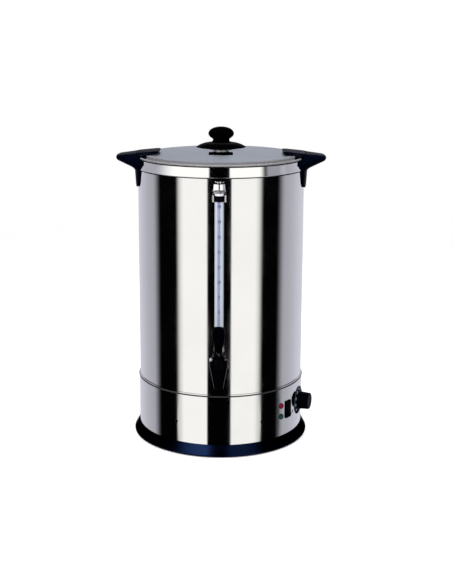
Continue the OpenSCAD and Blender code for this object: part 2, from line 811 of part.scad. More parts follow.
module on_valve() {
    translate([0, -valve_r, 0]) children();
}

// Tap body: shank, gauge socket and tapered spout round one set of connected bores
module tap_body() {
    color(black) difference() {
        union() {
            outward(0, tank_r - 14, tap_z) cylinder(r = shank_r, h = valve_off + 14, $fn = 64);
            outward(0, tank_r + washer_t, tap_z) cylinder(r = washer_r, h = tap_flange_t, $fn = 64);
            on_valve() translate([0, 0, spout_z]) {
                cylinder(r1 = 7.5, r2 = bonnet_r - 0.6, h = body_top - spout_z, $fn = 64);
                cylinder(r = 8.1, h = 2, $fn = 64);
            }
            on_gauge() translate([0, 0, tap_z]) cylinder(r = socket_r, h = socket_top - tap_z, $fn = 64);
        }
        outward(0, tank_r - 15, tap_z) cylinder(r = shank_bore_r, h = valve_off + 15, $fn = 48);
        on_valve() translate([0, 0, seat_z]) cylinder(r = chamber_r, h = 60, $fn = 48);
        on_valve() translate([0, 0, spout_z - 1]) cylinder(r = outlet_r, h = 60, $fn = 48);
        on_gauge() translate([0, 0, tube_foot]) cylinder(r = tube_r + seal_t + seat / 2, h = 60, $fn = 64);
        on_gauge() translate([0, 0, tap_z]) cylinder(r = 3.5, h = 60, $fn = 32);
    }
}

spring_r = 4.8;
spring_wire = 0.9;
spring_turns = 6;
spring_top = body_top + 8;
collar_top = seat_z + 9;

// Bonnet: plugs the chamber, houses the spring and guides the stem; its skirt has grip lobes
module tap_bonnet() {
    z0 = body_top;
    color(black) on_valve() difference() {
        union() {
            rotate_extrude($fn = 64) polygon([[0, z0], [bonnet_r - 0.6, z0], [bonnet_r, z0 + 1.5],
                [bonnet_r, z0 + 12], [bonnet_r - 2.6, z0 + 16.5], [bonnet_r - 7, bonnet_top], [0, bonnet_top]]);
            translate([0, 0, z0 - 6]) cylinder(r = chamber_r - run, h = 7, $fn = 48);
        }
        translate([0, 0, z0 - 7]) cylinder(r = spring_r + spring_wire + 0.8, h = spring_top - z0 + 7, $fn = 48);
        translate([0, 0, z0]) cylinder(r = stem_r + run, h = 40, $fn = 32);
        for (a = [30:60:330]) rotate([0, 0, a]) translate([bonnet_r + 1.6, 0, z0 + 2])
            cylinder(r = 2.4, h = 30, $fn = 24);
    }
}

lever_top = pin_z + lever_h;
fork_half = 6.9;

// Half outline of the lever from the front: straight neck, then an oval paddle
function lever_outline() = let (mid = lever_top - 19, start = pin_z + 3)
    concat([[0, bonnet_top - 1], [fork_half, bonnet_top - 1], [fork_half - 0.1, start]],
           arc([0, mid], paddle_half, 19, -32, 90, 14));

// Side outline of the lever: a blade that leans forward, thinner at the top
function lever_side() = let (n = 8)
    concat([for (i = [0:n]) let (t = i / n) [3.2 - 5 * t - 4.5 * t * t, pin_z + 1 + (lever_top - pin_z - 1) * t]],
           [for (i = [n:-1:0]) let (t = i / n) [-5.5 - 2 * t - 3 * t * t, pin_z - 1 + (lever_top - pin_z + 1) * t]]);

// The lever: a blade on an eccentric cam that lifts the stem as it is pulled forward
module tap_lever() {
    color(black) on_valve() difference() {
        intersection() {
            front_prism(lever_outline(), -40, 40);
            union() {
                side_prism(lever_side(), paddle_half + 1);
                translate([-paddle_half, -cam_off, pin_z]) rotate([0, 90, 0])
                    cylinder(r = cam_r, h = 2 * paddle_half, $fn = 64);
            }
        }
        translate([-stem_r - 0.3, -stem_r - 9, bonnet_top - 2]) cube([2 * stem_r + 0.6, 2 * stem_r + 14, 19]);
        translate([-20, 0, pin_z]) rotate([0, 90, 0]) cylinder(r = pin_r, h = 40, $fn = 24);
    }
}

module lever_pin() {
    color("gainsboro") on_valve() translate([-fork_half, 0, pin_z]) rotate([0, 90, 0])
        cylinder(r = pin_r, h = 2 * fork_half, $fn = 24);
}

cup_t = 6;

// Stem with a collar under the spring and an eye for the pin
module valve_stem() {
    color("gainsboro") on_valve() difference() {
        union() {
            translate([0, 0, seat_z + cup_t]) cylinder(r = stem_r, h = pin_z + 4 - seat_z - cup_t, $fn = 32);
            translate([0, 0, seat_z + cup_t]) cylinder(r = 6, h = collar_top - seat_z - cup_t, $fn = 32);
        }
        translate([-20, 0, pin_z]) rotate([0, 90, 0]) cylinder(r = pin_r + run, h = 40, $fn = 24);
    }
}

module seat_cup() {
    color("ivory") on_valve() rotate_extrude($fn = 48) polygon([[0, seat_z + 0.1], [chamber_r - 2, seat_z + 0.1],
        [chamber_r - 1, seat_z + 1.5], [6.5, seat_z + cup_t], [0, seat_z + cup_t]]);
}

// Compression spring round the stem, as a swept round wire
module valve_spring() {
    sides = 6;
    steps = spring_turns * 16;
    z0 = collar_top + spring_wire / 2 + 0.05;
    z1 = spring_top - spring_wire / 2 - 0.05;
    rings = [for (i = [0:steps]) let (a = 360 * spring_turns * i / steps, z = z0 + (z1 - z0) * i / steps)
        for (k = [0:sides - 1]) let (b = 360 * k / sides, r = spring_r + spring_wire / 2 * cos(b))
            [r * cos(a), r * sin(a), z + spring_wire / 2 * sin(b)]];
    faces = concat(
        [for (i = [0:steps - 1], k = [0:sides - 1]) let (k2 = (k + 1) % sides)
            [i * sides + k, (i + 1) * sides + k, (i + 1) * sides + k2, i * sides + k2]],
        [[for (k = [0:sides - 1]) k]],
        [[for (k = [sides - 1:-1:0]) steps * sides + k]]);
    color("silver") on_valve() polyhedron(rings, faces, convexity = 8);
}

// Rubber washers shaped to the wall, outside and inside the tank
module tap_washers() {
    color("dimgray") difference() {
        union() {
            difference() {
                outward(0, tank_r - 4, tap_z) cylinder(r = washer_r - 1, h = washer_t + 4, $fn = 64);
                cylinder(r = tank_r, h = rim_z);
            }
            intersection() {
                outward(0, tank_inner - 4, tap_z) cylinder(r = washer_r - 1, h = 8, $fn = 64);
                cylinder(r = tank_inner, h = rim_z);
            }
        }
        outward(0, tank_r - 20, tap_z) cylinder(r = shank_r + seat / 2, h = 40, $fn = 64);
    }
}

module shank_nut() {
    color("gainsboro") outward(0, tank_inner - 4 - 6, tap_z) hex_nut(16.5, shank_r, 6);
}

// ---- lid --------------------------------------------------------------------------------------

panel_r = tank_r - lid_ledge;
step_w = 2;
panel_z = rim_z + lid_rise;
rim_bead_r = lid_r - lid_bead_r - 1;
knob_screw_r = 3;
spigot_r = tank_inner - 1.6;
spigot_h = 6;
lug_screw_x = tank_r - 23;
lug_screw_y = 13;
lug_screw_r = 1.9;

// A ring welded under the lid that centres it in the tank
module lid_spigot() {
    color(steel) ring(spigot_r, spigot_r - lid_wall, rim_z - spigot_h, spigot_h);
}

// Pressed lid: raised panel, flat rim and rolled edge
module lid() {
    w = lid_wall;
    top = concat(
        [[0, panel_z]],
        arc([panel_r - 2, panel_z - 2], 2, 2, 90, 0, 6),
        arc([panel_r + step_w, rim_z + w + 1], step_w - 0.4, 1, 180, 270, 5),
        [[rim_bead_r, rim_z + w], [rim_bead_r, rim_z]]);
    under = concat(
        arc([panel_r + 1.2 - w, rim_z + 0.6], 0.8, 0.6, 270, 180, 4),
        arc([panel_r - 2, panel_z - 2], 2 - w, 2 - w, 0, 90, 6),
        [[0, panel_z - w]]);
    color(steel) difference() {
        union() {
            rotate_extrude() polygon(concat(top, under));
            rotate_extrude() translate([rim_bead_r, rim_z + lid_bead_r]) circle(r = lid_bead_r, $fn = 32);
        }
        cylinder(r = knob_screw_r + seat, h = panel_z + 5, $fn = 32);
        for (sx = [-1, 1], sy = [-1, 1]) translate([sx * lug_screw_x, sy * lug_screw_y, 0])
            cylinder(r = lug_screw_r + seat, h = panel_z + 5, $fn = 24);
    }
}

spacer_z = panel_z + knob_foot_t;
knob_z = spacer_z + spacer_h;

module knob_foot() {
    color(black) ring(knob_foot_r, knob_screw_r + seat, panel_z, knob_foot_t);
}

// Steel spacer, waisted between the foot and the knob
module knob_spacer() {
    color(steel) rotate_extrude() polygon(concat(
        [[knob_screw_r + seat, spacer_z], [spacer_r, spacer_z], [spacer_r, spacer_z + 1]],
        arc([spacer_r, spacer_z + spacer_h / 2], 1.5, spacer_h / 2 - 1, 270, 90, 8),
        [[spacer_r, knob_z - 1], [spacer_r, knob_z], [knob_screw_r + seat, knob_z]]));
}

// Knob: an oval grip on a waist above a wide shallow skirt that is hollow underneath
module lid_knob() {
    grip_h = 12.4;
    grip_z = knob_z + knob_h - grip_h;
    waist_r = grip_r * 0.645;
    waist_z = grip_z - 12.5;
    root_r = waist_r + 2.6;
    outer = concat(
        [[0, knob_z + knob_h]],
        [for (a = [88:-6:-38]) [grip_r * pow(cos(a), a > 0 ? 0.92 : 1.1), grip_z + grip_h * sin(a)]],
        arc([waist_r + 4, waist_z + 1.7], 4, 4.2, 165, 250, 8),
        [for (i = [1:12]) [root_r + (skirt_r - 0.3 - root_r) * i / 12,
                           knob_z + 2.9 + 8.3 * (1 - pow(i / 12, 2.4))]],
        [[skirt_r, knob_z + 2], [skirt_r - 0.4, knob_z + 1.3]]);
    inner = [[spacer_r + 11, knob_z], [knob_screw_r, knob_z], [knob_screw_r, knob_z + 16], [0, knob_z + 16]];
    color(black) rotate_extrude() polygon(concat(outer, inner));
}

module knob_screw() {
    color("gainsboro") translate([0, 0, panel_z - lid_wall]) rotate([180, 0, 0]) {
        pan_screw(knob_screw_r - run, knob_foot_t + spacer_h + lid_wall + 14, 5.5, 3.4);
        ring(9, knob_screw_r - 1, 0, 1.2);
    }
}

// The lid's lugs: tongues that lie on the panel, hook over its edge and meet the handles
module lid_lug() {
    tip = tank_r - lug_reach + 3;
    rise = 4.3;
    flange_top = rim_z + lid_wall;
    color(black) difference() {
        intersection() {
            union() {
                hull() {
                    for (s = [-1, 1]) {
                        translate([tip + 3, s * (wing_half - 7), panel_z + rise]) cylinder(r1 = 5.5, r2 = 5, h = 1.8, $fn = 32);
                        translate([lid_r, s * (wing_half - 1.5), handle_top - 1.5]) sphere(r = 1.5, $fn = 16);
                        translate([lid_r, s * wing_half, panel_z]) cylinder(r = 1.5, h = 1, $fn = 16);
                        translate([tip + 8.5, s * (wing_half - 3), panel_z]) cylinder(r = 3, h = 1, $fn = 16);
                    }
                }
                hull() for (s = [-1, 1]) {
                    translate([tip + 8, s * (wing_half - 6), panel_z]) cylinder(r = 4, h = rise, $fn = 32);
                    translate([panel_r - 2, s * 37, panel_z]) cylinder(r = 5, h = 1.5, $fn = 32);
                }
                intersection() {
                    ring(lid_r, panel_r + step_w, flange_top, panel_z - flange_top + 0.5);
                    translate([tank_r / 2, -49, 0]) cube([tank_r, 98, panel_z + 10]);
                }
            }
            cylinder(r = lid_r, h = handle_top + 20);
        }
        rotate_extrude() translate([rim_bead_r, rim_z + lid_bead_r]) circle(r = lid_bead_r + seat, $fn = 32);
        difference() {
            cylinder(r = panel_r + step_w, h = panel_z);
            cylinder(r = tank_r / 2, h = panel_z + 1);
        }
        for (s = [-1, 1]) translate([lug_screw_x, s * lug_screw_y, 0])
            cylinder(r = lug_screw_r, h = panel_z + 2.5, $fn = 24);
    }
}

module lid_lug_left() {
    rotate([0, 0, 180]) lid_lug();
}

module lid_lug_right() {
    lid_lug();
}

module lug_screws() {
    color("gainsboro") for (sx = [-1, 1], sy = [-1, 1])
        translate([sx * lug_screw_x, sy * lug_screw_y, panel_z - lid_wall]) rotate([180, 0, 0])
            pan_screw(lug_screw_r - run, lid_wall + 2.4, 3.6, 2.2);
}

tank_shell();
tank_floor();
rim_collar();
tank_support_ring();
lower_housing();
base_ring();
base_plate();
foot_ring();
tie_rods();
tie_nuts();
housing_brackets();
housing_screws();
base_screws();
heater_plate();
heating_element();
keep_warm_element();
thermostat();
capillary_bulb();
cutout_switch();
reset_button();
terminal_block();
earth_stud();
cord_gland();
gland_nut();
switch_frame();
switch_rocker();
lamp_lens_red();
lamp_lens_green();
lamp_holders();
dial_knob();
dial_shaft();
handle_left();
handle_right();
handle_screws();
tap_body();
tap_bonnet();
tap_lever();
lever_pin();
valve_stem();
seat_cup();
valve_spring();
tap_washers();
shank_nut();
gauge_tube();
gauge_lower_seal();
gauge_upper_seal();
gauge_top_fitting();
gauge_cap();
gauge_bracket();
lid();
lid_spigot();
lid_knob();
knob_spacer();
knob_foot();
knob_screw();
lid_lug_left();
lid_lug_right();
lug_screws();
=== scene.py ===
"""Looks for a hot water urn: steel, moulded plastic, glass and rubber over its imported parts.

Lengths are in millimetres until a mesh is made. The tank's axis is Z, the counter is z = 0,
and the tap faces -Y.
"""

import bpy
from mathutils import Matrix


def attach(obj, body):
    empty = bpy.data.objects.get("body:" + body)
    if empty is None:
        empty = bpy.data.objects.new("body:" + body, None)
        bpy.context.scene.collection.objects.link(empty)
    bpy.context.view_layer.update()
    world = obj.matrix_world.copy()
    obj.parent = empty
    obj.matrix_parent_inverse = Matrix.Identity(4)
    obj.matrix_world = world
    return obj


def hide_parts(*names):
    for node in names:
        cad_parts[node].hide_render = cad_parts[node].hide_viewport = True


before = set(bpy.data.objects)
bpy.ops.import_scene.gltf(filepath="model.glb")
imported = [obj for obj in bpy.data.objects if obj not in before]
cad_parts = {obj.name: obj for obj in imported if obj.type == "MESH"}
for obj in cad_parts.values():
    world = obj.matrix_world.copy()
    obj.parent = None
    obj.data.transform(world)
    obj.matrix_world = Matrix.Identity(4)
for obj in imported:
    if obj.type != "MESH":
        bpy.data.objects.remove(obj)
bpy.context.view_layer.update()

import math

import bmesh
import bpy
import numpy as np
from mathutils import Matrix, Vector

MM = 0.001
TAU = 2 * math.pi

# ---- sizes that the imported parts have, in millimetres ----------------------------------------

TANK_R = 150.0
BAND_R = 151.2
BEAD_Z = 110.0
RIM_Z = 513.0
WING_IN = 152.4
HANDLE_TOP = 522.2
NOSE = (181.72, 513.0, 5.0)
WING_HALF = 28.5
HOOK_HALF = 63.0
GAUGE_R = 163.0
TUBE_R = 7.7
TUBE_Z = (180.0, 461.0)
FITTING_Z = 466.9
PANEL_Z, PANEL_R = 519.5, 138.0
KNOB_Z = 529.0
VALVE_R = 190.0
PIN_Z = 205.0
LEVER_TOP = 250.0
DIAL_AZ, DIAL_Z, DIAL_BACK = 70.6, 71.3, 152.3
DIAL_R, GRIP_R, GRIP_L = 25.6, 15.8, 19.5
HOUSING_SCREW_Z = 57.5
HOUSING_SCREWS = (-30, 30, 150, 210)


# ---- meshes from arrays ----------------------------------------------------------------------


def outward(az, r, z):
    """The 4x4 place of a thing on the wall: its +Z points outwards, its +Y up, its +X right."""
    turn = Matrix.Rotation(math.radians(az), 4, "Z") @ Matrix.Translation((0, -r, z))
    return np.array(turn @ Matrix.Rotation(math.pi / 2, 4, "X"))


def placed(points, place):
    """Points turned and moved by a 4x4 matrix."""
    return points @ place[:3, :3].T + place[:3, 3]


def grid_faces(rows, cols, close_rows=False, close_cols=True):
    """Corner numbers of the quads of a grid whose points are numbered row by row."""
    r, c = np.meshgrid(
        np.arange(rows if close_rows else rows - 1),
        np.arange(cols if close_cols else cols - 1),
        indexing="ij",
    )
    r1, c1 = (r + 1) % rows, (c + 1) % cols
    quads = np.stack([r * cols + c, r * cols + c1, r1 * cols + c1, r1 * cols + c], -1)
    return quads.reshape(-1, 4)


def piece(name, parts, finish, body, replaces=(), crease=35):
    """A mesh object from (points, faces) pairs in millimetres, welded, faced outwards and smooth."""
    mesh = bpy.data.meshes.new(name)
    start, points, faces = 0, [], []
    for part_points, part_faces in parts:
        points.append(np.asarray(part_points, float).reshape(-1, 3))
        faces.append(np.asarray(part_faces) + start)
        start += len(points[-1])
    mesh.from_pydata((np.concatenate(points) * MM).tolist(), [], np.concatenate(faces).tolist())
    solid = bmesh.new()
    solid.from_mesh(mesh)
    bmesh.ops.remove_doubles(solid, verts=solid.verts, dist=1e-7)
    bmesh.ops.dissolve_degenerate(solid, edges=solid.edges, dist=1e-7)
    bmesh.ops.recalc_face_normals(solid, faces=solid.faces)
    solid.to_mesh(mesh)
    solid.free()
    mesh.shade_smooth()
    mesh.set_sharp_from_angle(angle=math.radians(crease))
    made = bpy.data.objects.new(name, mesh)
    bpy.context.scene.collection.objects.link(made)
    mesh.materials.append(finish)
    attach(made, body)
    if replaces:
        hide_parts(*replaces)
    return made


def revolved(profile, place=None, turns=96, ripple=None):
    """A closed (r, z) profile carried round the Z axis; ripple(angle, r, z) may change its radius."""
    profile = np.asarray(profile, float)
    angle = np.linspace(0, TAU, turns, endpoint=False)[:, None]
    r, z = profile[:, 0][None], profile[:, 1][None]
    radius = np.broadcast_to(r, (turns, len(profile))).copy()
    if ripple:
        radius = ripple(angle, radius, np.broadcast_to(z, radius.shape))
    points = np.stack([radius * np.cos(angle), radius * np.sin(angle), z + 0 * radius], -1)
    points = points.reshape(-1, 3)
    if place is not None:
        points = placed(points, place)
    return points, grid_faces(turns, len(profile), True, True)


def arc(centre, radius, a0, a1, steps):
    """Points on a circle's arc between two angles in degrees."""
    a = np.radians(np.linspace(a0, a1, steps))
    return np.stack([centre[0] + radius * np.cos(a), centre[1] + radius * np.sin(a)], -1)


def rounded(points, radius, steps=4):
    """A closed outline whose corners become arcs: each corner's two tangent points lie radius
    / tan(half its angle) along its sides, and the arc between them is a quadratic curve."""
    points = np.asarray(points, float)
    radius = np.broadcast_to(radius, len(points))
    before, after = np.roll(points, 1, 0) - points, np.roll(points, -1, 0) - points
    lb, la = np.linalg.norm(before, axis=1), np.linalg.norm(after, axis=1)
    ub, ua = before / lb[:, None], after / la[:, None]
    half = np.arccos(np.clip((ub * ua).sum(1), -1, 1)) / 2
    cut = np.minimum(radius / np.maximum(np.tan(half), 1e-3), 0.45 * np.minimum(lb, la))
    t = np.linspace(0, 1, steps)[None, :, None]
    p0, p2 = points + ub * cut[:, None], points + ua * cut[:, None]
    return (
        (1 - t) ** 2 * p0[:, None] + 2 * t * (1 - t) * points[:, None] + t**2 * p2[:, None]
    ).reshape(-1, 2)


def softened(name, node, finish, width, body="root", crease=30):
    """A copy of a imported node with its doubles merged, flat facets joined and edges bevelled."""
    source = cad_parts[node]
    mesh = source.data.copy()
    mesh.name = name
    solid = bmesh.new()
    solid.from_mesh(mesh)
    bmesh.ops.remove_doubles(solid, verts=solid.verts, dist=2e-6)
    bmesh.ops.dissolve_limit(
        solid, angle_limit=math.radians(1), verts=solid.verts, edges=solid.edges
    )
    bmesh.ops.recalc_face_normals(solid, faces=solid.faces)
    solid.to_mesh(mesh)
    solid.free()
    mesh.materials.clear()
    mesh.materials.append(finish)
    mesh.shade_smooth()
    made = bpy.data.objects.new(name, mesh)
    bpy.context.scene.collection.objects.link(made)
    bevel = made.modifiers.new("edges", "BEVEL")
    bevel.width, bevel.segments, bevel.limit_method = width * MM, 3, "ANGLE"
    bevel.angle_limit = math.radians(crease)
    bevel.harden_normals = True
    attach(made, body)
    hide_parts(node)
    return made


# ---- shader maths ----------------------------------------------------------------------------


class Socket:
    """A node's output that Python's operators work on; each adds a Math node."""

    def __init__(self, nodes, output):
        self.nodes, self.output = nodes, output

    def math(self, operation, *others, clamp=False):
        settings = {"operation": operation, "use_clamp": clamp}
        return self.nodes.node("ShaderNodeMath", settings, [self, *others])

    def __add__(self, other):
        return self.math("ADD", other)

    def __sub__(self, other):
        return self.math("SUBTRACT", other)

    def __mul__(self, other):
        return self.math("MULTIPLY", other)

    def __truediv__(self, other):
        return self.math("DIVIDE", other)

    def __pow__(self, other):
        return self.math("POWER", other)

    def __rsub__(self, other):
        return self.nodes.node("ShaderNodeMath", {"operation": "SUBTRACT"}, [other, self])

    __radd__, __rmul__ = __add__, __mul__

    def abs(self):
        return self.math("ABSOLUTE")

    def ramp(self, low, high, start=0.0, end=1.0):
        """Rises smoothly from start at low to end at high."""
        settings = {"interpolation_type": "SMOOTHSTEP"}
        values = {"Value": self, "From Min": low, "From Max": high, "To Min": start, "To Max": end}
        return self.nodes.node("ShaderNodeMapRange", settings, values)


class Nodes:
    """A node tree and the one method that adds to it."""

    def __init__(self, tree):
        self.tree = tree

    def node(self, kind, settings=None, values=(), output=0):
        """Adds a node: its settings first, then its sockets' values or links, by place or name."""
        made = self.tree.nodes.new(kind)
        for key, value in (settings or {}).items():
            setattr(made, key, value)
        for key, value in values.items() if isinstance(values, dict) else enumerate(values):
            if isinstance(value, Socket):
                self.tree.links.new(value.output, made.inputs[key])
            elif value is not None:
                made.inputs[key].default_value = value
        return Socket(self, made.outputs[output])

    def axes(self, vector):
        """The three numbers of a vector."""
        split = self.node("ShaderNodeSeparateXYZ", None, [vector])
        outputs = split.output.node.outputs
        return [Socket(self, outputs[i]) for i in range(3)]


class Finish(Nodes):
    """A procedural material: constants go straight on its shader, and feed() links the rest."""

    def __init__(self, name, **constants):
        self.material = bpy.data.materials.new(name)
        self.material.use_nodes = True
        super().__init__(self.material.node_tree)
        self.shader = self.tree.nodes["Principled BSDF"]
        for socket, value in constants.items():
            self.shader.inputs[socket.replace("_", " ")].default_value = value
        self.place = self.node("ShaderNodeTexCoord", None, [], "Object")

    def feed(self, socket, value):
        self.tree.links.new(value.output, self.shader.inputs[socket])

    def noise(self, scale, detail=2.0, roughness=0.5, stretch=(1, 1, 1)):
        """Cloudy noise from 0 to 1 over the piece, finer as scale rises."""
        where = self.node("ShaderNodeMapping", None, {"Vector": self.place, "Scale": stretch})
        values = {"Vector": where, "Scale": scale, "Detail": detail, "Roughness": roughness}
        return self.node("ShaderNodeTexNoise", None, values)

    def blend(self, factor, low, high):
        """Mixes two colours by a factor from 0 to 1."""
        values = {"Factor": factor, 6: low, 7: high}
        return self.node("ShaderNodeMix", {"data_type": "RGBA"}, values, 2)

    def bump(self, height, depth_mm, strength=1.0):
        """Feeds the shader's normal from a height whose 1 stands for depth_mm."""
        values = {"Strength": strength, "Distance": depth_mm * MM, "Height": height}
        self.feed("Normal", self.node("ShaderNodeBump", None, values))


def rgb(r, g, b):
    return (r, g, b, 1.0)


def sheet_steel(name, colour, rough, smudge, wave_mm):
    """Polished sheet: long faint waves of the rolled metal and a cloudy film of finger grease."""
    f = Finish(name, Metallic=1.0)
    film = f.noise(9, 4, 0.6)
    fine = f.noise(900, 2, 0.5, (1, 1, 0.04))
    f.feed("Roughness", rough + smudge * film.ramp(0.35, 0.75) + 0.02 * fine)
    f.feed("Base Color", f.blend(film.ramp(0.3, 0.8), colour, rgb(*[c * 0.97 for c in colour[:3]])))
    f.bump(f.noise(14, 1, 0.4, (1, 1, 0.35)), wave_mm)
    return f


def spun_steel(name, colour, rough):
    """Turned sheet: fine rings round the axis, as the polishing wheel leaves them."""
    f = Finish(name, Metallic=1.0)
    x, y, z = f.axes(f.place)
    radius = (x * x + y * y) ** 0.5
    rings = f.node("ShaderNodeTexNoise", {"noise_dimensions": "1D"}, {"W": radius, "Scale": 1500.0})
    film = f.noise(12, 4, 0.6)
    f.feed("Roughness", rough + 0.06 * rings + 0.05 * film.ramp(0.35, 0.75))
    f.feed("Base Color", f.blend(rings, rgb(*[c * 0.96 for c in colour[:3]]), colour))
    f.bump(rings, 0.006)
    return f


def dull_steel(name, colour, rough):
    """Mill-finished metal: fine grain and slow clouds."""
    f = Finish(name, Metallic=1.0)
    clouds, grain = f.noise(30, 5, 0.6), f.noise(1400, 2)
    f.feed("Roughness", rough + 0.14 * clouds + 0.06 * grain)
    f.feed("Base Color", f.blend(clouds, rgb(*[c * 0.82 for c in colour[:3]]), colour))
    f.bump(grain, 0.02)
    return f


def moulded(name, colour, rough, grain_mm, scale=700, **constants):
    """Moulded plastic: a fine spark-eroded grain, rubbed smoother in clouds where hands touch."""
    f = Finish(name, **constants)
    rub, grain = f.noise(22, 3, 0.55), f.noise(scale, 2, 0.5)
    f.feed("Roughness", rough + 0.10 * (rub - 0.5) + 0.04 * grain)
    f.feed("Base Color", f.blend(rub, rgb(*[c * 0.8 for c in colour[:3]]), colour))
    f.bump(grain, grain_mm)
    return f


def rubber(name, colour, rough=0.62, **constants):
    """Rubber: matt, with a dusty bloom and a coarse skin."""
    f = Finish(name, **constants)
    bloom, skin = f.noise(60, 4, 0.6), f.noise(500, 3, 0.6)
    f.feed("Roughness", rough + 0.2 * bloom)
    f.feed("Base Color", f.blend(bloom.ramp(0.45, 0.8), colour, rgb(*[c * 1.8 for c in colour[:3]])))
    f.bump(skin, 0.03)
    return f


def opal_tube(name):
    """Glass with an opal back: bluish white, with a slate stripe just left of its front. Its greyer edges
    are painted light and the dark rim on its right is painted shade, and a faint emission paints a glow on
    it."""
    f = Finish(name, Coat_Weight=1.0, Coat_Roughness=0.03, Roughness=0.12, IOR=1.47)
    x, y, z = f.axes(f.place)
    side = (x / MM + 0.5).abs()
    stripe = 1 - side.ramp(1.9, 3.4)
    streaks = f.noise(300, 2, 0.5, (1, 1, 0.05))
    colour = f.blend(stripe * (0.75 + 0.5 * streaks), rgb(0.42, 0.45, 0.54), rgb(0.20, 0.235, 0.33))
    # Painted light and shade: the sides are greyed and the right rim darkened by where they lie on the
    # tube.
    edge = side.ramp(5.6, 7.4)
    painted_dark_rim = side.ramp(7.0, 7.9)
    glass = f.blend(edge, colour, rgb(0.44, 0.44, 0.48))
    f.feed("Base Color", f.blend(painted_dark_rim, glass, rgb(0.01, 0.01, 0.015)))
    # Painted glow: a faint emission, though the tube is no lamp.
    f.feed("Emission Color", f.blend(stripe, rgb(0.50, 0.54, 0.66), rgb(0.22, 0.26, 0.38)))
    f.shader.inputs["Emission Strength"].default_value = 0.1
    return f


def lamp_lens(name, deep, bright, glow):
    """Clear coloured plastic: a ribbed prism pattern inside, brighter where the dome is thin."""
    f = Finish(name, Coat_Weight=0.2, Coat_Roughness=0.04, Specular_IOR_Level=0.15)
    ribs = f.node("ShaderNodeTexVoronoi", {"feature": "F1"}, {"Vector": f.place, "Scale": 900.0})
    cells = ribs.ramp(0.2, 0.8)
    f.feed("Base Color", f.blend(cells, bright, deep))
    f.feed("Roughness", 0.18 + 0.1 * cells)
    f.feed("Emission Color", f.blend(cells, bright, deep))
    f.shader.inputs["Emission Strength"].default_value = glow
    f.bump(cells, 0.12)
    return f


def heat_tinted(name):
    """Steel tube that heat has turned brown and blue in slow bands."""
    f = Finish(name, Metallic=1.0)
    clouds = f.noise(45, 3, 0.6)
    f.feed("Base Color", f.blend(clouds, rgb(0.30, 0.25, 0.22), rgb(0.20, 0.21, 0.27)))
    f.feed("Roughness", 0.34 + 0.2 * clouds)
    return f


def cast_metal(name, colour, rough):
    """Cast metal: a sandy skin."""
    f = Finish(name, Metallic=1.0)
    sand = f.noise(420, 4, 0.6)
    f.feed("Base Color", f.blend(sand, rgb(*[c * 0.75 for c in colour[:3]]), colour))
    f.feed("Roughness", rough + 0.2 * sand)
    f.bump(sand, 0.08)
    return f


DULL = {"Specular_IOR_Level": 0.06}
SHEET = sheet_steel("polished sheet steel", rgb(0.93, 0.925, 0.92), 0.035, 0.05, 0.02).material
LID_STEEL = spun_steel("spun lid steel", rgb(0.72, 0.79, 0.82), 0.42).material
# Painted shade: a dark copy of the lid's steel for its step and flange.
SHADED_STEP_STEEL = moulded("lid step, painted shade", rgb(0.175, 0.173, 0.185), 0.55, 0.004, **DULL).material
# Painted highlight: a pale satin copy of the lid's steel for its rolled edge.
LIT_EDGE_STEEL = moulded("lid edge, painted highlight", rgb(0.34, 0.34, 0.36), 0.4, 0.004, Metallic=0.4).material
# Painted shade: a near-black finish for the ring over the housing's bead.
BEAD_SHADE = moulded("bead, painted shade", rgb(0.028, 0.028, 0.031), 0.5, 0.004, **DULL).material
# Painted shade: near-black steel for the rings that stand in for shadow in gaps.
SHADE_LINE_STEEL = dull_steel("painted shade line", rgb(0.02, 0.02, 0.026), 0.3).material
PLAIN = dull_steel("plain steel", rgb(0.62, 0.62, 0.63), 0.30).material
BRIGHT = dull_steel("bright fastener steel", rgb(0.72, 0.72, 0.73), 0.16).material
CHROME = sheet_steel("chrome", rgb(0.95, 0.95, 0.96), 0.03, 0.04, 0.006).material
BASE = moulded("gloss base", rgb(0.007, 0.0155, 0.055), 0.17, 0.002, 500, Metallic=1.0,
               Specular_Tint=rgb(0.0, 0.0, 0.0)).material
HANDLE = moulded("satin handle", rgb(0.0006, 0.0013, 0.005), 0.3, 0.012, Specular_IOR_Level=0.003,
                 Specular_Tint=rgb(0.05, 0.25, 1.0)).material
CAP = moulded("gloss tap cap", rgb(0.0008, 0.0008, 0.0016), 0.12, 0.003, Specular_IOR_Level=0.01).material
DARK_SCREW = dull_steel("blackened screw", rgb(0.02, 0.02, 0.025), 0.3).material
KNOB = moulded("gloss knob", rgb(0.0004, 0.0004, 0.0006), 0.25, 0.003, Specular_IOR_Level=0.001).material
TAP = moulded("gloss tap", rgb(0.0006, 0.0006, 0.0014), 0.14, 0.003, Specular_IOR_Level=0.03).material
CONTROL = moulded("satin control", rgb(0.0008, 0.0008, 0.002), 0.3, 0.012, Specular_IOR_Level=0.01).material
RUBBER = rubber("black rubber", rgb(0.0006, 0.0006, 0.002), 0.3, Specular_IOR_Level=0.04).material
SILICONE = rubber("milky silicone", rgb(0.60, 0.58, 0.52), 0.5).material
OPAL = opal_tube("opal gauge glass").material
RED = lamp_lens("red lens", rgb(0.05, 0.001, 0.006), rgb(0.20, 0.004, 0.03), 0.03).material
GREEN = lamp_lens("green lens", rgb(0.001, 0.014, 0.009), rgb(0.003, 0.06, 0.038), 0.03).material
ALUMINIUM = cast_metal("cast aluminium", rgb(0.70, 0.71, 0.72), 0.35).material
ELEMENT = heat_tinted("heat-tinted steel").material
COPPER = dull_steel("drawn copper", rgb(0.78, 0.42, 0.28), 0.25).material
BRASS = dull_steel("bright brass", rgb(0.78, 0.60, 0.27), 0.22).material
RESIN = moulded("switch resin", rgb(0.62, 0.55, 0.40), 0.42, 0.02).material
RESET = moulded("red button", rgb(0.42, 0.02, 0.02), 0.25, 0.01).material
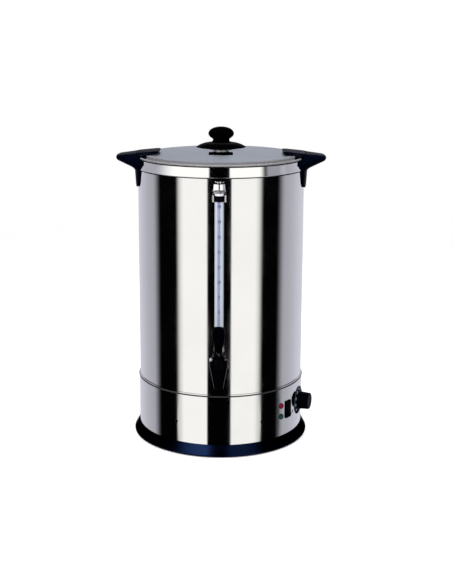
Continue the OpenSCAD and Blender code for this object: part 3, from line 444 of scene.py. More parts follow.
SATIN = dull_steel("satin chrome", rgb(0.86, 0.85, 0.89), 0.3).material
NYLON = moulded("white nylon", rgb(0.86, 0.86, 0.88), 0.35, 0.004).material
# Painted glint: a pale bluish finish for the domes on the tap's bonnet.
GLINT_PAINT = moulded("painted glint", rgb(0.33, 0.36, 0.43), 0.4, 0.004).material
DIAL_PRINT = moulded("dial print", rgb(0.30, 0.36, 0.52), 0.45, 0.0).material
BLUE_PRINT = moulded("blue print", rgb(0.035, 0.05, 0.17), 0.4, 0.0, Specular_IOR_Level=0.2).material
DARK_PRINT = moulded("dark print", rgb(0.01, 0.01, 0.015), 0.4, 0.0).material

PAINTED = [
    (SHEET, "tank_shell rim_collar lower_housing"),
    (LID_STEEL, "lid"),
    (SATIN, "knob_spacer"),
    (PLAIN, "tank_floor tank_support_ring base_plate housing_brackets lid_spigot"),
    (BRIGHT, "tie_rods tie_nuts base_screws handle_screws knob_screw lug_screws lever_pin"),
    (BRIGHT, "valve_stem shank_nut dial_shaft valve_spring"),
    (CHROME, "gauge_top_fitting gauge_cap gauge_bracket"),
    (BASE, "base_ring"),
    (KNOB, "lid_knob knob_foot"),
    (TAP, "tap_body"),
    (CAP, "tap_bonnet"),
    (CONTROL, "lamp_holders cord_gland gland_nut switch_frame switch_rocker"),
    (RUBBER, "foot_ring gauge_lower_seal gauge_upper_seal tap_washers"),
    (SILICONE, "seat_cup"),
    (RED, "lamp_lens_red"),
    (GREEN, "lamp_lens_green"),
    (ALUMINIUM, "heater_plate"),
    (ELEMENT, "heating_element keep_warm_element"),
    (COPPER, "capillary_bulb"),
    (RESIN, "thermostat cutout_switch terminal_block"),
    (RESET, "reset_button"),
    (BRASS, "earth_stud"),
]
for finish, names in PAINTED:
    for name in names.split():
        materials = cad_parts[name].data.materials
        materials.clear()
        materials.append(finish)


# ---- handles -----------------------------------------------------------------------------------


def handle_shell(side):
    """A handle as a closed loft. Across it, y runs from hook to hook; at each y a closed outline
    in (x, z) runs over the top, round the nose, back under the wing, down the leg's outside,
    round its foot and up the wall. The nose's centre and radius fall from the middle of the wing
    to the hook, the leg's foot rises from its middle to its sides, and the inside keeps to the
    tank's and the collar's circles. The last outlines shrink to close the hooks."""
    half = HOOK_HALF + 1.3
    y = half * np.sin(np.linspace(-math.pi / 2, math.pi / 2, 97))
    y = np.concatenate([y, np.linspace(-58, 58, 59)])
    y = np.unique(np.round(y, 4))
    a = np.abs(y)
    spread = np.clip((a - 22) / (HOOK_HALF - 22), 0, 1)
    nose_r = NOSE[2] - 3.4 * spread
    nose_x = NOSE[0] + 3.0 * np.cos(np.clip(a / 22, 0, 1) * math.pi / 2) - 41.3 * spread
    nose_z = NOSE[1] - 8 * spread
    fall = np.clip((a - WING_HALF) / (HOOK_HALF - WING_HALF), 0, 1)
    top_z = HANDLE_TOP - 11.7 * fall
    collar_x = np.sqrt(np.maximum(WING_IN**2 - a**2, 1))
    wall_x = np.sqrt(np.maximum((TANK_R + 0.1) ** 2 - a**2, 1))
    foot_z = np.interp(a, [0, 24, 30, 35, 39, 42, 45, 48, 52, 57, HOOK_HALF, 65],
                       [461.5, 461.5, 462.1, 464, 467.5, 472.5, 481, 492.5, 496, 499.5, 506.6, 507.8])
    root_z = np.interp(a, [0, 34, 48, 57, HOOK_HALF, 65], [494, 494, 495.8, 500.5, 507, 508.2])
    leg_t = np.interp(a, [0, 40, 58, 66], [5.6, 5.3, 4.2, 3.0])

    def col(v):
        return np.asarray(v, float)[:, None]

    def line(x0, z0, x1, z1, n):
        t = np.linspace(0, 1, n, endpoint=False)[None]
        return np.stack([col(x0) + (col(x1) - col(x0)) * t, col(z0) + (col(z1) - col(z0)) * t], -1)

    def ring(x, z, r, ang):
        return np.stack([col(x) + col(r) * np.cos(ang), col(z) + col(r) * np.sin(ang)], -1)

    a0 = math.pi / 2 + 0 * a
    under = np.arctan2(nose_z - root_z, np.maximum(nose_x - wall_x - leg_t, 2))
    a1 = -math.pi / 2 + under * 0.9
    t = np.linspace(0, 1, 15)[None]
    ang = col(a0) + (col(a1) - col(a0)) * t
    nose = ring(nose_x, nose_z, nose_r, ang)
    start_x, start_z = nose[:, 0, 0], nose[:, 0, 1]
    end_x, end_z = nose[:, -1, 0], nose[:, -1, 1]
    crown = line(collar_x + 1.0, top_z, start_x, start_z, 12)
    leg_x = wall_x + leg_t
    reach = np.minimum(4.5, 0.4 * np.maximum(end_x - leg_x, 0.2))
    share = reach / np.maximum(end_x - leg_x, 0.2)
    belly = line(end_x, end_z, leg_x + reach, root_z + (end_z - root_z) * share, 12)[:, 1:]
    drop = np.minimum(5.0, 0.5 * np.maximum(root_z - foot_z, 0.1))
    t = np.linspace(0, 1, 8)[None, :, None]
    p0 = belly[:, -1]
    p1 = np.stack([leg_x, root_z], -1)
    p2 = np.stack([leg_x - 0.1, root_z - drop], -1)
    bend = (1 - t) ** 2 * p0[:, None] + 2 * t * (1 - t) * p1[:, None] + t**2 * p2[:, None]
    foot_r = np.minimum(1.85, 0.33 * leg_t)
    leg = line(leg_x - 0.1, root_z - drop, wall_x + 2 * foot_r + 0.2, foot_z + foot_r, 14)[:, 1:]
    ang = np.linspace(0, -math.pi, 9)[None]
    foot = ring(wall_x + foot_r + 0.1, foot_z + foot_r, foot_r, ang)
    inner_z = np.linspace(0, 1, 16)[None] * (col(top_z) - 1.0 - col(foot_z + foot_r)) + col(foot_z + foot_r)
    step = np.clip((inner_z - 489.5) / 4.5, 0, 1)
    inner_x = col(wall_x) + (col(collar_x) - col(wall_x)) * step
    inner = np.stack([inner_x, inner_z], -1)[:, 1:]
    corner = np.stack([col(collar_x) + np.array([[0.15, 0.5]]), col(top_z) + np.array([[-0.5, -0.15]])], -1)
    loop = np.concatenate([crown, nose, belly, bend[:, 1:], leg, foot, inner, corner], 1)
    over = np.clip((a - (half - 3.0)) / 3.0, 0, 1)
    shrink = np.sqrt(np.maximum(1 - over**2, 0))
    middle = loop.mean(1, keepdims=True)
    loop = middle + (loop - middle) * col(shrink)[..., None]
    points = np.stack([loop[..., 0], np.broadcast_to(y[:, None], loop.shape[:2]), loop[..., 1]], -1)
    points[..., 0] *= side
    points[..., 1] *= side
    return points.reshape(-1, 3), grid_faces(len(y), loop.shape[1], False, True)


piece("handle_right_moulding", [handle_shell(1)], HANDLE, "root", ["handle_right"], 50)
piece("handle_left_moulding", [handle_shell(-1)], HANDLE, "root", ["handle_left"], 50)
softened("lug_right_moulding", "lid_lug_right", HANDLE, 0.6, "lid")
softened("lug_left_moulding", "lid_lug_left", HANDLE, 0.6, "lid")

# ---- rim collar --------------------------------------------------------------------------------

collar = [[150.05, 494.6], [150.05, 511.7], [150.35, 511.7], [150.4, 510.6], [151.36, 496.2]]
collar = np.concatenate([collar, arc((151.2, 495.3), 0.3, 10, -60, 5), [[151.1, 494.6]]])
piece("collar_sheet", [revolved(collar, None, 256)], SHEET, "root", ["rim_collar"], 40)
# Painted shade: a near-black ring in the gap under the lid's edge at the collar's top, and one under the
# collar's foot where it meets the shell.
rim_gap_shade = [[148.9, 512.0], [148.9, RIM_Z], [150.8, RIM_Z], [151.0, 512.8]]
rim_gap_shade += [[150.6, 511.7], [150.1, 511.7], [150.1, 512.0]]
collar_gap_shade = [[150.05, 493.0], [150.3, 493.0], [151.1, 494.5], [151.1, 494.7], [150.05, 494.7]]
gap_shade_rings = [revolved(rim_gap_shade, None, 256), revolved(collar_gap_shade, None, 256)]
piece("collar_shade_lines", gap_shade_rings, SHADE_LINE_STEEL, "root")

# ---- housing ---------------------------------------------------------------------------------

BEAD_SIZE = 0.66


def housing_sheet():
    """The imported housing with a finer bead: each of the bead's points comes nearer to the middle of
    its round section, by BEAD_SIZE times its distance, and all other points stay."""
    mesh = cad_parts["lower_housing"].data.copy()
    mesh.name = "housing_sheet"
    spots = np.zeros(len(mesh.vertices) * 3)
    mesh.vertices.foreach_get("co", spots)
    spots = spots.reshape(-1, 3) / MM
    r = np.hypot(spots[:, 0], spots[:, 1])
    on_bead = (r > BAND_R - 0.01) & (np.abs(spots[:, 2] - BEAD_Z) < 1.8)
    new_r = np.where(on_bead, BAND_R + (r - BAND_R) * BEAD_SIZE, r)
    spots[:, :2] *= (new_r / r)[:, None]
    spots[on_bead, 2] = BEAD_Z + (spots[on_bead, 2] - BEAD_Z) * BEAD_SIZE
    mesh.vertices.foreach_set("co", (spots * MM).ravel())
    made = bpy.data.objects.new("housing_sheet", mesh)
    bpy.context.scene.collection.objects.link(made)
    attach(made, "root")
    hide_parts("lower_housing")


housing_sheet()
# Painted shade: a near-black ring over the housing's bead stands in for the shade along it, hidden from
# mirrors.
bead_back = [[BAND_R - 0.5, BEAD_Z + 0.9], [BAND_R - 0.5, BEAD_Z - 0.9]]
bead_line = np.concatenate([arc((BAND_R, BEAD_Z), 1.22, -90, 90, 25), bead_back])
bead = piece("housing_bead_shade", [revolved(bead_line, None, 256)], BEAD_SHADE, "root")
bead.visible_glossy = False

# ---- lid and knob ------------------------------------------------------------------------------

LID_EDGE_R, LID_EDGE = 149.05, 1.75
sheet = [[0, PANEL_Z], [PANEL_R - 2.2, PANEL_Z], [PANEL_R - 2.2, PANEL_Z - 0.8], [0, PANEL_Z - 0.8]]
panel = revolved(rounded(sheet, [0, 0, 0, 0]), None, 192)
piece("lid_panel", [panel], LID_STEEL, "lid", ["lid"])
# The step and flange wear the dark copy of the lid's steel, as painted shade.
flange = [[PANEL_R + 1.6, 514.2], [LID_EDGE_R - 0.6, 513.8], [LID_EDGE_R - 0.6, 513.1]]
flange += [[PANEL_R + 1.0, 513.3], [PANEL_R - 2.2, PANEL_Z - 0.9]]
step = np.concatenate([arc((PANEL_R - 2.2, PANEL_Z - 2), 2, 90, 5, 8), flange])
piece("lid_step", [revolved(step, None, 192)], SHADED_STEP_STEEL, "lid")
# The rolled edge wears the pale copy of the lid's steel, as a painted highlight line.
edge = arc((LID_EDGE_R, RIM_Z + LID_EDGE), LID_EDGE, 0, 360, 49)[:-1]
piece("lid_edge", [revolved(edge, None, 256)], LIT_EDGE_STEEL, "lid")

SKIRT_R, KNOB_GRIP_R, KNOB_GRIP_Z, WAIST_R, ROOT_R = 44.8, 23.0, 555.3, 14.84, 17.44


def knob_outline():
    """The knob's half outline: an oval grip whose radius is a power of its angle's cosine, fuller
    above than below; a concave waist; a skirt whose height falls as a power of its radius; a
    rounded rim and a shallow hollow underneath."""
    a = np.radians(np.linspace(90, -38, 33))
    power = np.where(a > 0, 0.92, 1.1)
    grip = np.stack([KNOB_GRIP_R * np.maximum(np.cos(a), 0) ** power, KNOB_GRIP_Z + 12.4 * np.sin(a)], -1)
    b = np.radians(np.linspace(165, 250, 12))
    waist = np.stack([WAIST_R + 4 + 4 * np.cos(b), KNOB_Z + 15.5 + 4.2 * np.sin(b)], -1)
    t = np.linspace(0.08, 1, 24)
    skirt = np.stack([ROOT_R + (SKIRT_R - 0.4 - ROOT_R) * t, KNOB_Z + 2.9 + 7.6 * (1 - t**2.2)], -1)
    rim = [[SKIRT_R - 0.1, KNOB_Z + 2.7], [SKIRT_R, KNOB_Z + 2.4]]
    rim += [[SKIRT_R - 0.2, KNOB_Z + 2.15], [SKIRT_R - 1, KNOB_Z + 2]]
    under = [[32, KNOB_Z + 0.2], [20, KNOB_Z - 2.4], [18.5, KNOB_Z - 2.6]]
    under += [[3, KNOB_Z - 2.6], [3, KNOB_Z + 16], [0, KNOB_Z + 16]]
    return np.concatenate([grip, waist, skirt, rim, under])


knob = revolved(knob_outline(), None, 128)
knob = piece("knob_moulding", [knob], KNOB, "lid", ["lid_knob"], 45)


def foot_bar(y):
    """A bar across the lid at a depth y: a rounded outline in (x, z), carried from front to back
    with its ends drawn in."""
    half, top = 21.6, PANEL_Z + 5.2
    corners = [[-half, PANEL_Z], [half, PANEL_Z], [half, top], [-half, top]]
    outline = rounded(corners, [0.6, 0.6, 2.2, 2.2], 6)
    middle = outline.mean(0)
    rows = []
    for size, depth in ((0.001, -3.2), (0.96, -3.2), (1.0, -2.6), (1.0, 2.6), (0.96, 3.2), (0.001, 3.2)):
        flat = middle + (outline - middle) * [1 - (1 - size) * (0.15 if size > 0.5 else 1), size]
        rows.append(np.column_stack([flat[:, 0], np.full(len(flat), y + depth), flat[:, 1]]))
    return np.concatenate(rows), grid_faces(6, len(outline), False, True)


core = [[3.1, PANEL_Z], [14.5, PANEL_Z], [14.5, PANEL_Z + 4], [3.1, PANEL_Z + 4]]
core = revolved(rounded(core, [0, 0, 0.3, 0]), None, 96)
foot = piece("knob_foot_bar", [core, foot_bar(-28)], KNOB, "lid", ["knob_foot"], 45)
flat, flat_faces = foot_bar(0)
flat[:, 1] *= 24 / 3.2
flat[:, 2] = PANEL_Z + (flat[:, 2] - PANEL_Z) * 0.12
plate = piece("knob_foot_plate", [(flat, flat_faces)], LID_STEEL, "lid")
for made in (knob, foot, plate):
    made.visible_glossy = False

# ---- sight gauge ---------------------------------------------------------------------------------

on_gauge = np.array(Matrix.Translation((0, -GAUGE_R, 0)))


def gauge_head():
    """The chrome head: upright sides whose section is an uneven seven-cornered outline that narrows
    with height, split by a slot in its front."""
    wall = [[1.1, -7.6], [5.6, -6.3], [9.4, -0.4], [8.6, 4.5], [0, 7.6], [-8.4, 4.5], [-9.2, -4.4]]
    slit = [[-1.0, -7.6], [-1.0, -3.4], [1.1, -3.4]]
    section = np.array(wall + slit)
    shape = []
    for z, size in ((476.6, 1.08), (478.5, 1.06), (485.6, 1.0), (486.6, 0.98), (487.0, 0.94)):
        shape.append(np.column_stack([section * size, np.full(len(section), z)]))
    shape = np.array(shape)
    count, cols = shape.shape[:2]
    middle = shape.mean(1, keepdims=True)
    foot, top = [middle[i:i + 1] + (shape[i:i + 1] - middle[i:i + 1]) * 1e-3 for i in (0, count - 1)]
    shape = np.concatenate([foot, shape, top])
    return shape.reshape(-1, 3) + [0, -GAUGE_R, 0], grid_faces(count + 2, cols, False, True)


def crown_teeth(angle, r, z):
    """Ten rounded teeth on the part of the crown that stands out."""
    return r - 1.5 * (r > 7) * (np.cos(5 * angle + 0.5) ** 2 < 0.35)


bush = [[2.5, FITTING_Z], [7.8, FITTING_Z], [7.8, FITTING_Z + 4.7], [2.5, FITTING_Z + 4.7]]
bush = revolved(rounded(bush, [0, 0.3, 0.3, 0]), on_gauge, 96)
head = [piece("gauge_bush", [bush], NYLON, "root", ["gauge_top_fitting"])]
flare = [[2.5, 471.5], [8.4, 471.5], [9.4, 472.4], [11.1, 474.3], [11.1, 475.3], [8.7, 477.0], [2.5, 477.0]]
flare = revolved(rounded(flare, 0.25), on_gauge, 96)
head.append(piece("gauge_flare", [flare], SATIN, "root"))
head.append(piece("gauge_head", [gauge_head()], CHROME, "root", crease=12))
neck = [[0, 486.4], [6.4, 486.4], [6.4, 489.2], [0, 489.2]]
head.append(piece("gauge_neck", [revolved(neck, on_gauge, 48)], RUBBER, "root"))
crown = [[0, 488.8], [7.5, 488.8], [7.5, 490.6], [6.9, 491.2], [3.4, 491.2], [3.0, 490.0], [0, 490.0]]
crown = revolved(crown, on_gauge, 160, crown_teeth)
head.append(piece("gauge_crown", [crown], CHROME, "root", ["gauge_cap"]))
pin, pin_faces = revolved([[0, 0], [1.0, 0], [1.0, 1.6], [0, 1.6]], outward(0, 0, 0), 24)
pin = pin + [2.6, -GAUGE_R - 10.2, 474.6]
head.append(piece("gauge_set_screw", [(pin, pin_faces)], DARK_SCREW, "root"))
for made in head:
    made.visible_glossy = False
tube = [[TUBE_R - 2, TUBE_Z[0]], [TUBE_R, TUBE_Z[0]], [TUBE_R, TUBE_Z[1]], [TUBE_R - 2, TUBE_Z[1]]]
tube = revolved(rounded(tube, 0.7), on_gauge, 64)
piece("gauge_tube_glass", [tube], OPAL, "root", ["gauge_tube"])


def lettering(name, words, finish, size, place_of, body, bold=0.12):
    """Generic figures as thin raised shapes. place_of turns flat (x, y) points in millimetres, with
    x from the words' middle, into points on the surface, for a given lift above it."""
    parts = []
    for word, where in words:
        curve = bpy.data.curves.new(name, "FONT")
        curve.body, curve.size, curve.align_x, curve.align_y = word, size, "CENTER", "CENTER"
        curve.resolution_u, curve.extrude, curve.offset, curve.fill_mode = 2, 0.06, bold, "BOTH"
        text = bpy.data.objects.new(name, curve)
        bpy.context.scene.collection.objects.link(text)
        bpy.context.view_layer.update()
        flat = bpy.data.meshes.new_from_object(text.evaluated_get(bpy.context.evaluated_depsgraph_get()))
        bpy.data.objects.remove(text)
        co = np.zeros(len(flat.vertices) * 3)
        flat.vertices.foreach_get("co", co)
        co = co.reshape(-1, 3)
        flat_faces = [list(p.vertices) for p in flat.polygons]
        parts.append((place_of(co, where), flat_faces))
    mesh = bpy.data.meshes.new(name)
    points, faces, start = [], [], 0
    for co, flat_faces in parts:
        points.append(co)
        faces += [[i + start for i in face] for face in flat_faces]
        start += len(co)
    mesh.from_pydata((np.concatenate(points) * MM).tolist(), [], faces)
    mesh.materials.append(finish)
    made = bpy.data.objects.new(name, mesh)
    bpy.context.scene.collection.objects.link(made)
    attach(made, body)
    return made


def on_tube(flat, z):
    """Wraps flat points round the front of the tube at height z: an arc's length is its x."""
    r = TUBE_R + 0.02 + np.maximum(flat[:, 2], 0) * 0.6
    a = flat[:, 0] / TUBE_R
    return np.stack([r * np.sin(a), -GAUGE_R - r * np.cos(a), z + flat[:, 1]], -1)


SCALE_TOP, SCALE_STEP = 449.6, 25.95
marks = [(str(20 - 2 * i), SCALE_TOP - SCALE_STEP * i) for i in range(8)]
litres = [("L", SCALE_TOP + 6.4)]
lettering("gauge_figures", litres + marks, BLUE_PRINT, 6.2, on_tube, "root", 0.3)


def tick(z, half, thick):
    """A thin printed bar round the tube's front, from -half to half along the arc."""
    a = np.linspace(-half, half, 9)
    rows = [on_tube(np.stack([a, 0 * a + s * thick / 2, 0 * a + 0.03], -1), z) for s in (-1, 1)]
    return np.stack(rows).reshape(-1, 3), grid_faces(2, 9, False, False)


bars = [tick(z - 3.6, 1.6, 0.5) for _, z in marks]
bars += [tick(z - 3.6 + SCALE_STEP * k / 4, 0.9, 0.35) for _, z in marks[1:] for k in (1, 2, 3)]
piece("gauge_ticks", bars, BLUE_PRINT, "root")

# ---- tap lever -------------------------------------------------------------------------------------


def lever_blade():
    """The lever's paddle: at each height an oval across it, whose half width follows a straight
    neck and then an ellipse, and whose middle and thickness follow a blade that leans forward.
    The last rows close the top."""
    t = np.concatenate([np.linspace(0, 0.9, 40), 1 - 0.1 * (1 - np.linspace(0, 1, 16)[1:]) ** 2])
    z = PIN_Z - 2 + (LEVER_TOP - PIN_Z + 2) * t
    mid, power = LEVER_TOP - 19, np.where(z > LEVER_TOP - 19, 4.0, 2.0)
    oval = 11 * np.clip(1 - np.abs((z - mid) / 19) ** power, 0, 1) ** (1 / power)
    slope = 6.9 + (9.33 - 6.9) * np.clip((z - 208) / 11.9, 0, 1) ** 1.3
    width = np.where(z < 219.9, slope, oval)
    s = np.clip((z - PIN_Z) / (LEVER_TOP - PIN_Z), 0, 1)
    back = 3.2 - 5 * s - 4.5 * s**2
    front = -5.5 - 2 * s - 3 * s**2
    thin = np.sqrt(np.clip(1 - ((z - (LEVER_TOP - 2)) / 2.0) ** 2, 0, 1))
    thin = np.where(z > LEVER_TOP - 2, thin, 1.0)
    half = (back - front) / 2 * thin
    middle = (back + front) / 2
    a = np.linspace(0, TAU, 48, endpoint=False)[None]
    c, n = np.cos(a), np.sin(a)
    x = width[:, None] * np.sign(c) * np.abs(c) ** 0.75
    y = middle[:, None] + half[:, None] * np.sign(n) * np.abs(n) ** 0.75
    dish = 0.9 * np.clip(1 - (x / 8.5) ** 2, 0, 1) * np.exp(-(((z[:, None] - 231) / 12) ** 2))
    y = np.where(n < 0, y + dish, y)
    points = np.stack([x, y - VALVE_R, z[:, None] + 0 * x], -1)
    rows, cols = x.shape
    points = points.reshape(-1, 3)
    ends = []
    for row in (0, rows - 1):
        ring = points[row * cols:(row + 1) * cols]
        centre = ring.mean(0)
        inner = centre + (ring - centre) * 1e-4
        ends.append(np.concatenate([ring, inner]))
    faces = grid_faces(rows, cols, False, True)
    cap = grid_faces(2, cols, False, True)
    return [(points, faces), (ends[0], cap), (ends[1], cap)]


def lever_cheek(side):
    """One of the cam's two cheeks: a thick disc with rounded rims, off the pin's axis."""
    inner, outer = 3.3, 6.9
    profile = rounded([[0, inner], [8.88, inner], [8.88, outer], [0, outer]], [0, 0.2, 0.8, 0], 5)
    points, faces = revolved(profile, None, 64)
    turned = np.stack([side * points[:, 2], points[:, 0] - VALVE_R - 5, points[:, 1] + PIN_Z], -1)
    return turned, faces


piece("tap_lever_blade", lever_blade(), TAP, "tap_lever", ["tap_lever"], 60)
piece("tap_lever_cam", [lever_cheek(1), lever_cheek(-1)], TAP, "tap_lever")


def glint_dome(x, radius):
    """A pale dome with a short shank towards the axis, set on the bonnet's shoulder to paint a glint there.
    """
    angles = np.linspace(0, math.pi * 0.8, 14)
    profile = [[radius * math.sin(t), radius * 0.85 * math.cos(t)] for t in angles]
    profile += [[radius * 0.4, -3.0], [0, -3.0]]
    points, faces = revolved(profile, None, 40)
    sign = 1 if x > 0 else -1
    return np.stack([x + sign * points[:, 2], points[:, 0] - VALVE_R - 8, points[:, 1] + 192.0], -1), faces


# Painted glints: a pale dome on the bonnet's left shoulder and a pale dot on its right.
glint_domes = [glint_dome(-13.4, 2.9), glint_dome(12.6, 0.6)]
piece("bonnet_glint_domes", glint_domes, GLINT_PAINT, "root")

# ---- dial --------------------------------------------------------------------------------------------

on_dial = outward(DIAL_AZ, DIAL_BACK, DIAL_Z)
FLUTES = 20
SKIRT_TOP = 3.4
SHAFT_R = 3.05


def dial_skirt():
    """The dial's numbered skirt: a shallow cone whose rim reaches back towards the sheet."""
    outline = [[SHAFT_R, 0], [DIAL_R - 6, 0], [DIAL_R, -0.8], [DIAL_R, 0.1]]
    outline += [[GRIP_R - 1, SKIRT_TOP], [SHAFT_R, SKIRT_TOP]]
    return revolved(rounded(outline, [0, 0.25, 0.2, 0.3, 0, 0]), on_dial, 128)


def dial_grip():
    """The fluted grip: each flute is a scallop that starts above the skirt and runs to the end."""
    top = 2.6 + GRIP_L

    def scallops(angle, r, z):
        lobe = np.abs(np.cos(angle * FLUTES / 2)) ** 1.6
        rise = np.clip((z - 4.6) / 2.2, 0, 1) * np.clip((r - 9) / 4, 0, 1)
        return r - 0.85 * rise * (1 - lobe) ** 1.0

    outline = [[SHAFT_R, 1.0], [GRIP_R, 1.0], [GRIP_R, 3.4], [GRIP_R - 0.45, 12], [GRIP_R - 1.0, top]]
    outline += [[GRIP_R - 3.7, top], [GRIP_R - 4.2, top - 0.5], [0, top - 0.5]]
    outline += [[0, top - 2.0], [SHAFT_R, top - 2.0]]
    profile = rounded(outline, [0, 0, 0, 0, 1.3, 0.3, 0.3, 0, 0, 0], 6)
    return revolved(profile, on_dial, FLUTES * 12, scallops)


skirt = piece("dial_skirt", [dial_skirt()], CONTROL, "dial", ["dial_knob"])
grip = piece("dial_grip", [dial_grip()], CONTROL, "dial", crease=40)
# The core lies inside the grip and stands in for the dial in the housing's mirror image.
inside = [[SHAFT_R, 1.2], [14.2, 1.2], [14.2, 8.0], [SHAFT_R, 8.0]]
piece("dial_core", [revolved(inside, on_dial, 64)], CONTROL, "dial")


def on_skirt(flat, angle):
    """Lays flat points on the skirt's face round the dial, their feet towards the grip."""
    r = 20.2 + flat[:, 1]
    a = math.radians(angle) - flat[:, 0] / 20.2
    lift = 0.14 + (SKIRT_TOP - 0.1) * (DIAL_R - r) / (DIAL_R - GRIP_R + 1) + np.maximum(flat[:, 2], 0) * 0.8
    return placed(np.stack([r * np.cos(a), r * np.sin(a), lift], -1), on_dial)


DIAL_START, DIAL_SWEEP = 225, 270
figures = [(str(30 + 10 * i), DIAL_START - DIAL_SWEEP * i / 8) for i in range(9)]
digits = lettering("dial_figures", figures, DIAL_PRINT, 5.2, on_skirt, "dial", 0.04)


def dial_tick(angle, length):
    """A short printed line across the skirt's edge."""
    half, low, lift = 0.25, 2.9, 0.04
    high = low + length
    flat = np.array([[-half, low, lift], [half, low, lift], [half, high, lift], [-half, high, lift]])
    return on_skirt(flat, angle), np.array([[0, 1, 2, 3]])


def dial_pointer():
    """The printed mark beside the dial: an arrowhead with a short tail."""
    head, tail = [[-1.9, 3.3], [2.9, -0.2], [-1.9, -3.7]], [[-0.2, -1.0], [-3.4, -1.2]]
    flat = np.array([[x, y, 0.03] for x, y in head + tail])
    return placed(flat, outward(61.2, BAND_R + 0.02, 57.4)), np.array([[0, 1, 2], [3, 4, 2]])


ticks = [dial_tick(DIAL_START - DIAL_SWEEP * i / 40, 1.2 if i % 5 else 1.9) for i in range(41)]
ticks = piece("dial_ticks", ticks, DIAL_PRINT, "dial")
for made in (skirt, grip, digits, ticks):
    made.visible_glossy = False
piece("dial_pointer", [dial_pointer()], DARK_PRINT, "root")

# ---- housing screws ------------------------------------------------------------------------------------


def screw_head(place, r=2.6, h=1.5, cross=1.4):
    """A pan head: a polar grid whose height is a low dome, sunk by a cross-shaped recess whose
    depth falls off across each arm. A straight skirt closes it to the sheet."""
    radius = np.concatenate([np.linspace(0.0, cross + 0.3, 15), [0.72 * r, 0.85 * r, 0.95 * r, r, r]])
    angle = np.linspace(0, TAU, 64, endpoint=False)
    rr, aa = np.meshgrid(radius, angle, indexing="ij")
    x, y = rr * np.cos(aa), rr * np.sin(aa)
    dome = h * (1 - 0.42 * (rr / r) ** 3)
    arm = np.minimum(np.abs(x), np.abs(y))
    sink = np.clip((0.42 - arm) / 0.16, 0, 1) * np.clip((cross - rr) / 0.3, 0, 1)
    z = dome - 0.95 * sink
    z[-1] = -0.3
    return placed(np.stack([x, y, z], -1).reshape(-1, 3), place), grid_faces(len(radius), 64, False, True)


heads = [screw_head(outward(a, BAND_R, HOUSING_SCREW_Z)) for a in HOUSING_SCREWS]
shanks = [revolved([[0, -6], [1.9, -6], [1.9, 0.5], [0, 0.5]], outward(a, BAND_R, HOUSING_SCREW_Z), 24)
          for a in HOUSING_SCREWS]
piece("housing_screw_heads", heads + shanks, DARK_SCREW, "root", ["housing_screws"])

# ---- camera, light and floor -----------------------------------------------------------------------------

camera = bpy.data.objects.new("camera", bpy.data.cameras.new("camera"))
bpy.context.scene.collection.objects.link(camera)
camera.data.sensor_width, camera.data.lens = 36.0, 67.75
camera.data.shift_x, camera.data.shift_y = 0.00878, -0.07914
camera.data.clip_start, camera.data.clip_end = 0.05, 60
CAMERA_AZ, CAMERA_FAR, CAMERA_HIGH, CAMERA_DOWN = math.radians(1.0), 1.9805, 0.7456, math.radians(11.327)
camera.matrix_world = (
    Matrix.Rotation(CAMERA_AZ, 4, "Z")
    @ Matrix.Translation((0, -CAMERA_FAR, CAMERA_HIGH))
    @ Matrix.Rotation(math.pi / 2 - CAMERA_DOWN, 4, "X")
    @ Matrix.Rotation(math.radians(0.15), 4, "Z")
)
bpy.context.scene.camera = camera
bpy.context.scene.view_settings.view_transform = "Standard"


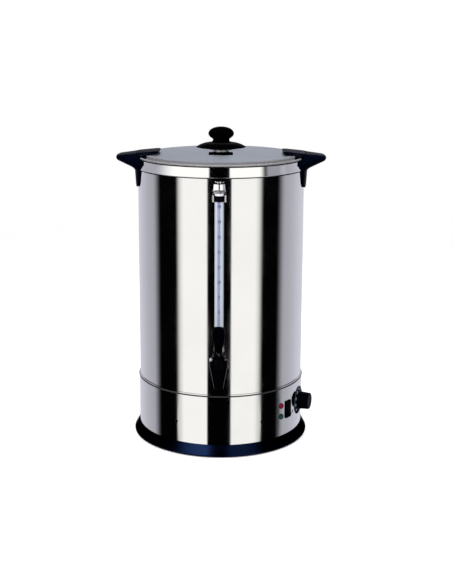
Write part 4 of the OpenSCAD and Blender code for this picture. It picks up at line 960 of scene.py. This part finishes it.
def studio():
    """The studio as light by direction: a dark slot between two tall soft boxes in front, dark
    sides, a backdrop behind that brightens towards its middle, a soft box overhead and a pale
    glow from far below."""
    world = bpy.data.worlds.new("studio")
    bpy.context.scene.world = world
    world.use_nodes = True
    n = Nodes(world.node_tree)
    x, y, z = n.axes(n.node("ShaderNodeTexCoord", None, [], "Generated"))
    side = (x.math("ARCTAN2", 0 - y) * (180 / math.pi) + 1.2).abs()
    high = z.math("ARCSINE") * (180 / math.pi)
    left = (0 - x).ramp(-0.1, 0.1)
    rim = high.ramp(-6.0, -2.0) * (1 - high.ramp(4.0, 9.0))
    shifted = side + 1.5 - 3.7 * left
    slot = (side + 2.6 * high.ramp(-6.0, -2.0)).ramp(15.2, 17.4)
    front = slot * (0.55 * (1 - side.ramp(49.0, 62.0)) + 0.45 * (1 - side.ramp(56.0, 63.0)))
    rear = 0.39 * shifted.ramp(87.0, 104.0) + 0.24 * shifted.ramp(95.0, 160.0)
    fall = side.ramp(59.0, 99.0)
    flank = 0.34 * side.ramp(62.0, 70.0) * (1 - side.ramp(90.0, 104.0))
    edge = left * (1 - fall) + (1 - left) * (1 - side.ramp(55.0, 65.0))
    boxes = front * (1 - rim) + slot * edge * rim
    spill = rear * (1 - left * rim) + flank * (rim * (1 - left)) + 0.42 * slot * fall * (left * rim)
    window = high.ramp(-25.0, -22.5) * (1 - high.ramp(14.0, 22.0))
    behind = 0.75 * side.ramp(128.0, 152.0) * high.ramp(3.0, 8.0) * (1 - high.ramp(28.0, 40.0))
    above = 0.15 * high.ramp(52.0, 80.0) + behind
    below = 0.45 * (1 - high.ramp(-56.0, -40.0))
    upper = front * ((0.8 + 2.0 * left) * high.ramp(28.0, 33.0) * (1 - high.ramp(44.0, 52.0)))
    warm = boxes * window * (1 + 0.12 * rim) + upper
    cool = spill * window * (1 - high.ramp(3.0, 8.0)) + above + below + 0.0006
    tones = [warm * a + cool * b for a, b in ((0.985, 0.985), (0.978, 0.985), (0.955, 1.11))]
    seen = n.node("ShaderNodeLightPath", None, [], "Is Camera Ray")
    colour = n.node("ShaderNodeCombineColor", None, tones)
    shown = {"Factor": seen, 6: colour, 7: rgb(1.0, 1.0, 1.0)}
    light = n.node("ShaderNodeMix", {"data_type": "RGBA"}, shown, 2)
    background = world.node_tree.nodes["Background"]
    world.node_tree.links.new(light.output, background.inputs["Color"])
    background.inputs["Strength"].default_value = 1.0


studio()


def soft_box(name, place, target, size, power):
    """An area light that faces a point."""
    lamp = bpy.data.lights.new(name, "AREA")
    lamp.shape, lamp.size, lamp.size_y, lamp.energy = "RECTANGLE", size[0], size[1], power
    made = bpy.data.objects.new(name, lamp)
    bpy.context.scene.collection.objects.link(made)
    aim = np.array(target, float) - np.array(place, float)
    made.rotation_euler = Vector(aim).to_track_quat("-Z", "Y").to_euler()
    made.location = place
    made.visible_glossy = False
    made.visible_camera = False
    return made


soft_box("overhead box", (0.2, -0.5, 2.4), (0, 0, 0.2), (3.0, 3.0), 105)
soft_box("left box", (-1.8, -1.6, 1.3), (0, 0, 0.3), (1.0, 1.6), 16)


def counter():
    """A pale counter whose far part fades into the backdrop by its distance from the middle."""
    bpy.ops.mesh.primitive_plane_add(size=8.0)
    floor = bpy.context.object
    floor.name = "counter"
    f = Finish("pale counter", Roughness=0.6)
    x, y, z = f.axes(f.place)
    far = (x * x + y * y) ** 0.5
    f.feed("Base Color", f.blend(f.noise(40, 3), rgb(0.93, 0.93, 0.93), rgb(0.95, 0.95, 0.95)))
    clear = f.node("ShaderNodeBsdfTransparent")
    shown = Socket(f, f.shader.outputs[0])
    mixed = f.node("ShaderNodeMixShader", None, [far.ramp(0.7, 2.4), shown, clear])
    f.tree.links.new(mixed.output, f.tree.nodes["Material Output"].inputs["Surface"])
    f.shader.inputs["Emission Color"].default_value = rgb(1.0, 1.0, 1.0)
    f.shader.inputs["Emission Strength"].default_value = 0.3
    floor.data.materials.append(f.material)
    floor.visible_glossy = False


counter()
